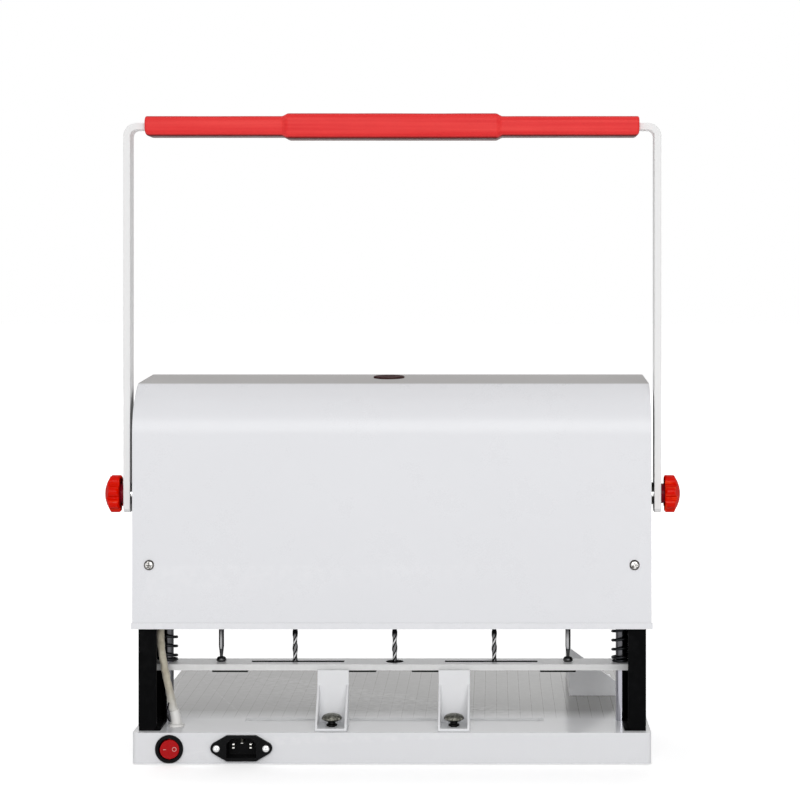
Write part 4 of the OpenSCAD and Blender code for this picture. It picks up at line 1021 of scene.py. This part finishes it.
def addDrill(side, settings):
    node = side + "_drill"
    low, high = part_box(node)
    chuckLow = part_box(side + "_chuck")[0].z
    radius = (high.x - low.x) / 2
    centre = Vector(((low.x + high.x) / 2, (low.y + high.y) / 2, 0))
    fluteEnd = chuckLow - settings["shankShows"]
    pointHeight = radius * math.tan(math.radians(settings["point"]))
    pointTop = low.z + pointHeight
    angles = [2 * math.pi * k / settings["sides"] for k in range(settings["sides"])]
    rings, depths = [], []
    count = int((fluteEnd - low.z) / settings["step"])
    heights = [low.z + pointHeight * i / settings["pointSteps"] for i in range(settings["pointSteps"])]
    heights += [pointTop + (fluteEnd - pointTop) * i / count for i in range(count + 1)]
    for z in heights:
        reach = min(1.0, max(settings["tip"], (z - low.z) / pointHeight))
        fade = min(1.0, max(0.0, (fluteEnd - z) / settings["runOut"]))
        turn = 2 * math.pi * (z - low.z) / settings["lead"]
        ring = []
        for angle in angles:
            share = drillRadius(angle, settings) * fade + (1 - fade)
            r = radius * settings["fit"] * min(share, reach)
            depths.append((1 - share) / (1 - settings["web"]))
            ring.append(centre + Vector((r * math.cos(angle + turn), r * math.sin(angle + turn), z)))
        rings.append(ring)
    shank = radius * settings["fit"]
    for z in (fluteEnd + settings["shoulder"], high.z):
        rings.append([centre + Vector((shank * math.cos(a), shank * math.sin(a), z)) for a in angles])
    vertices, faces = skinRings(rings)
    depths += [0.0] * (len(vertices) - len(depths))
    piece = addPiece(side + "Drill", vertices, faces)
    piece.data.attributes.new("depth", "FLOAT", "POINT").data.foreach_set("value", depths)
    splitEdges(piece, settings["sharp"])
    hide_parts(node)
    setFinish(piece, "drillSteel")
    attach(piece, side + "_spindle")


for side in ("left", "centre", "right"):
    addDrill(side, drillSet)
print("drills fluted")


# Grip: one soft moulding with a thicker middle and ends that are cut back below
gripSet = {
    "swell": 2.2 * mm, "halfMiddle": 84 * mm, "taper": 6 * mm, "taperSteps": 8, "corner": 4.6 * mm,
    "cornerSteps": 8, "cornerSwell": 0.5, "endTop": 1.6 * mm, "endLow": 4.2 * mm, "sag": 0.25 * mm,
    "sagScale": 30, "sagFrom": (0.3, 0.7), "sagDepth": 0.4, "halfRings": 90, "sharp": 55,
}


def roundedRing(x, centre, halfDepth, up, down, corner, steps):
    ring = []
    corners = ((1, up - corner), (-1, up - corner), (-1, corner - down), (1, corner - down))
    for quarter, (side, z) in enumerate(corners):
        for i in range(steps + 1):
            angle = math.radians(90 * quarter + 90 * i / steps)
            ring.append(Vector((x, centre.y + side * (halfDepth - corner) + corner * math.cos(angle),
                                centre.z + z + corner * math.sin(angle))))
    return ring


# How far a rounded end draws in at a distance from the end
def endShrink(away, radius):
    inEnd = max(0.0, radius - away)
    return radius - math.sqrt(max(0.0, radius ** 2 - inEnd ** 2))


def addGrip(settings):
    low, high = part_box("grip")
    centre = (low + high) / 2
    length = (high.x - low.x) / 2
    halfDepth = (high.y - low.y) / 2 - settings["swell"]
    halfHeight = (high.z - low.z) / 2 - settings["swell"]
    end = settings["endLow"]
    places = [-length + end * (1 - math.cos(math.radians(a))) for a in range(0, 91, 10)]
    count = settings["halfRings"]
    places += [-length + end + (length - end) * i / count for i in range(1, count + 1)]
    edge, taperSteps = settings["halfMiddle"], settings["taperSteps"]
    places += [-edge - settings["taper"] * (1 - i / taperSteps) for i in range(taperSteps + 1)]
    places = sorted(set(round(p, 7) for p in places))
    places += [-p for p in reversed(places) if p < -1e-7]
    rings = []
    for x in places:
        away = length - abs(x)
        top, bottom = endShrink(away, settings["endTop"]), endShrink(away, end)
        swell = settings["swell"] * smoothStep((edge + settings["taper"] - abs(x)) / settings["taper"])
        wave = settings["sag"] * noise.noise(Vector((x * settings["sagScale"], *settings["sagFrom"])))
        reach = halfDepth + swell - top + min(0.0, wave * settings["sagDepth"])
        up, down = halfHeight + swell - top + min(0.0, wave), halfHeight + swell - bottom
        corner = settings["corner"] + swell * settings["cornerSwell"]
        rings.append(roundedRing(x, centre, reach, up, down, corner, settings["cornerSteps"]))
    piece = addPiece("softGrip", *skinRings(rings))
    splitEdges(piece, settings["sharp"])
    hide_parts("grip")
    setFinish(piece, "gripRed")
    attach(piece, "lever")


addGrip(gripSet)
print("grip made")


# Marks on the rocker: a dash and a ring, raised a little from the lens
markSet = {
    "ringAt": 4.3 * mm, "ring": 1.6 * mm, "dashAt": -3.4 * mm, "dash": 1.2 * mm, "line": 0.24 * mm,
    "steps": 32, "dashSteps": 8, "sides": 8, "castFrom": 20 * mm, "color": (0.72, 0.42, 0.40),
}


def markFinish(settings):
    material, tree, shader = newFinish("markPale", Roughness=0.4, Specular_IOR_Level=0.2)
    drift = tint(tree, "drift", Color=settings["color"], Amount=0.3, Scale=300.0)
    feed(shader, "Base Color", drift)
    return material


def addMarks(settings):
    mesh = nodes["rocker"].data
    lens = BVHTree.FromPolygons([v.co for v in mesh.vertices], [tuple(p.vertices) for p in mesh.polygons])
    low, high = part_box("switch_bezel")
    centre = (low + high) / 2

    def onLens(across, up):
        start = Vector((centre.x + across, low.y - settings["castFrom"], centre.z + up))
        return lens.ray_cast(start, Vector((0, 1, 0)))[0]

    def lineRadius(share, angle):
        return settings["line"]

    turns = [2 * math.pi * i / settings["steps"] for i in range(settings["steps"] + 1)]
    ringAt, radius = settings["ringAt"], settings["ring"]
    ring = [onLens(ringAt + radius * math.cos(a), radius * math.sin(a)) for a in turns]
    dashSteps = settings["dashSteps"]
    shares = [2 * i / dashSteps - 1 for i in range(dashSteps + 1)]
    dash = [onLens(settings["dashAt"] + settings["dash"] * s, 0.0) for s in shares]
    for name, line in (("rockerRing", ring), ("rockerDash", dash)):
        piece = addPiece(name, *skinRings(tubeRings(line, lineRadius, settings["sides"])))
        setFinish(piece, "markPale")
        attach(piece, "rocker")


finishes["markPale"] = markFinish(markSet)
addMarks(markSet)
print("rocker marked")


# Studio: pale floor that keeps a soft shadow, even light from all round and three broad lamps
studioSet = {
    "floorSize": 30.0, "floorColor": (0.80, 0.80, 0.80), "floorLift": (0.50, 0.68), "floorFade": (0.4, 1.3),
    "ambient": 0.40, "aim": (0, -0.1, 0.2),
}
lampSet = {
    "key": {"power": 140.0, "size": (4.4, 2.2), "from": (0.4, -4.8, 1.7), "inGloss": True},
    "fill": {"power": 42.0, "size": (3.0, 2.4), "from": (-0.6, 1.2, 4.4), "inGloss": False},
    "front": {"power": 40.0, "size": (3.4, 2.0), "from": (0.6, 5.0, 1.5), "inGloss": False},
}


def seenRays(tree):
    path = tree.nodes.new("ShaderNodeLightPath")
    seen = addMath(tree, "MAXIMUM", path.outputs["Is Camera Ray"], path.outputs["Is Glossy Ray"])
    return addMath(tree, "MAXIMUM", seen, path.outputs["Is Transmission Ray"])


def addLamp(name, settings, aim):
    data = bpy.data.lights.new(name + "Light", "AREA")
    data.shape = "RECTANGLE"
    data.size, data.size_y = settings["size"]
    data.energy = settings["power"]
    light = bpy.data.objects.new(name + "Light", data)
    light.location = settings["from"]
    light.rotation_euler = (Vector(aim) - light.location).to_track_quat("-Z", "Y").to_euler()
    light.visible_glossy = settings["inGloss"]
    bpy.context.scene.collection.objects.link(light)


def addWorld(settings):
    world = bpy.data.worlds.new("studioWorld")
    bpy.context.scene.world = world
    world.use_nodes = True
    tree = world.node_tree
    color = addMix(tree, seenRays(tree), (settings["ambient"],) * 3, (1.0, 1.0, 1.0))
    feed(tree.nodes["Background"], "Color", color)


def addFloor(settings):
    half = settings["floorSize"] / 2
    corners = [(-half, -half, 0), (half, -half, 0), (half, half, 0), (-half, half, 0)]
    floor = addPiece("studioFloor", corners, [(0, 1, 2, 3)], smooth=False)
    material, tree, shader = newFinish("floorPaper", Roughness=0.9, Specular_IOR_Level=0.1,
                                       Emission_Strength=1.0)
    drift = tint(tree, "drift", Color=settings["floorColor"], Amount=0.01, Scale=3.0)
    feed(shader, "Base Color", drift)
    far = addNode(tree, "ShaderNodeVectorMath", {0: objectPoint(tree)}, operation="LENGTH")
    level = addRange(tree, far.outputs["Value"], *settings["floorFade"], *settings["floorLift"])
    feed(shader, "Emission Color", addMath(tree, "MULTIPLY", seenRays(tree), level))
    floor.data.materials.append(material)


addWorld(studioSet)
addFloor(studioSet)
for name, lamp in lampSet.items():
    addLamp(name, lamp, studioSet["aim"])
bpy.context.scene.view_settings.view_transform = "Standard"
print("studio lit")
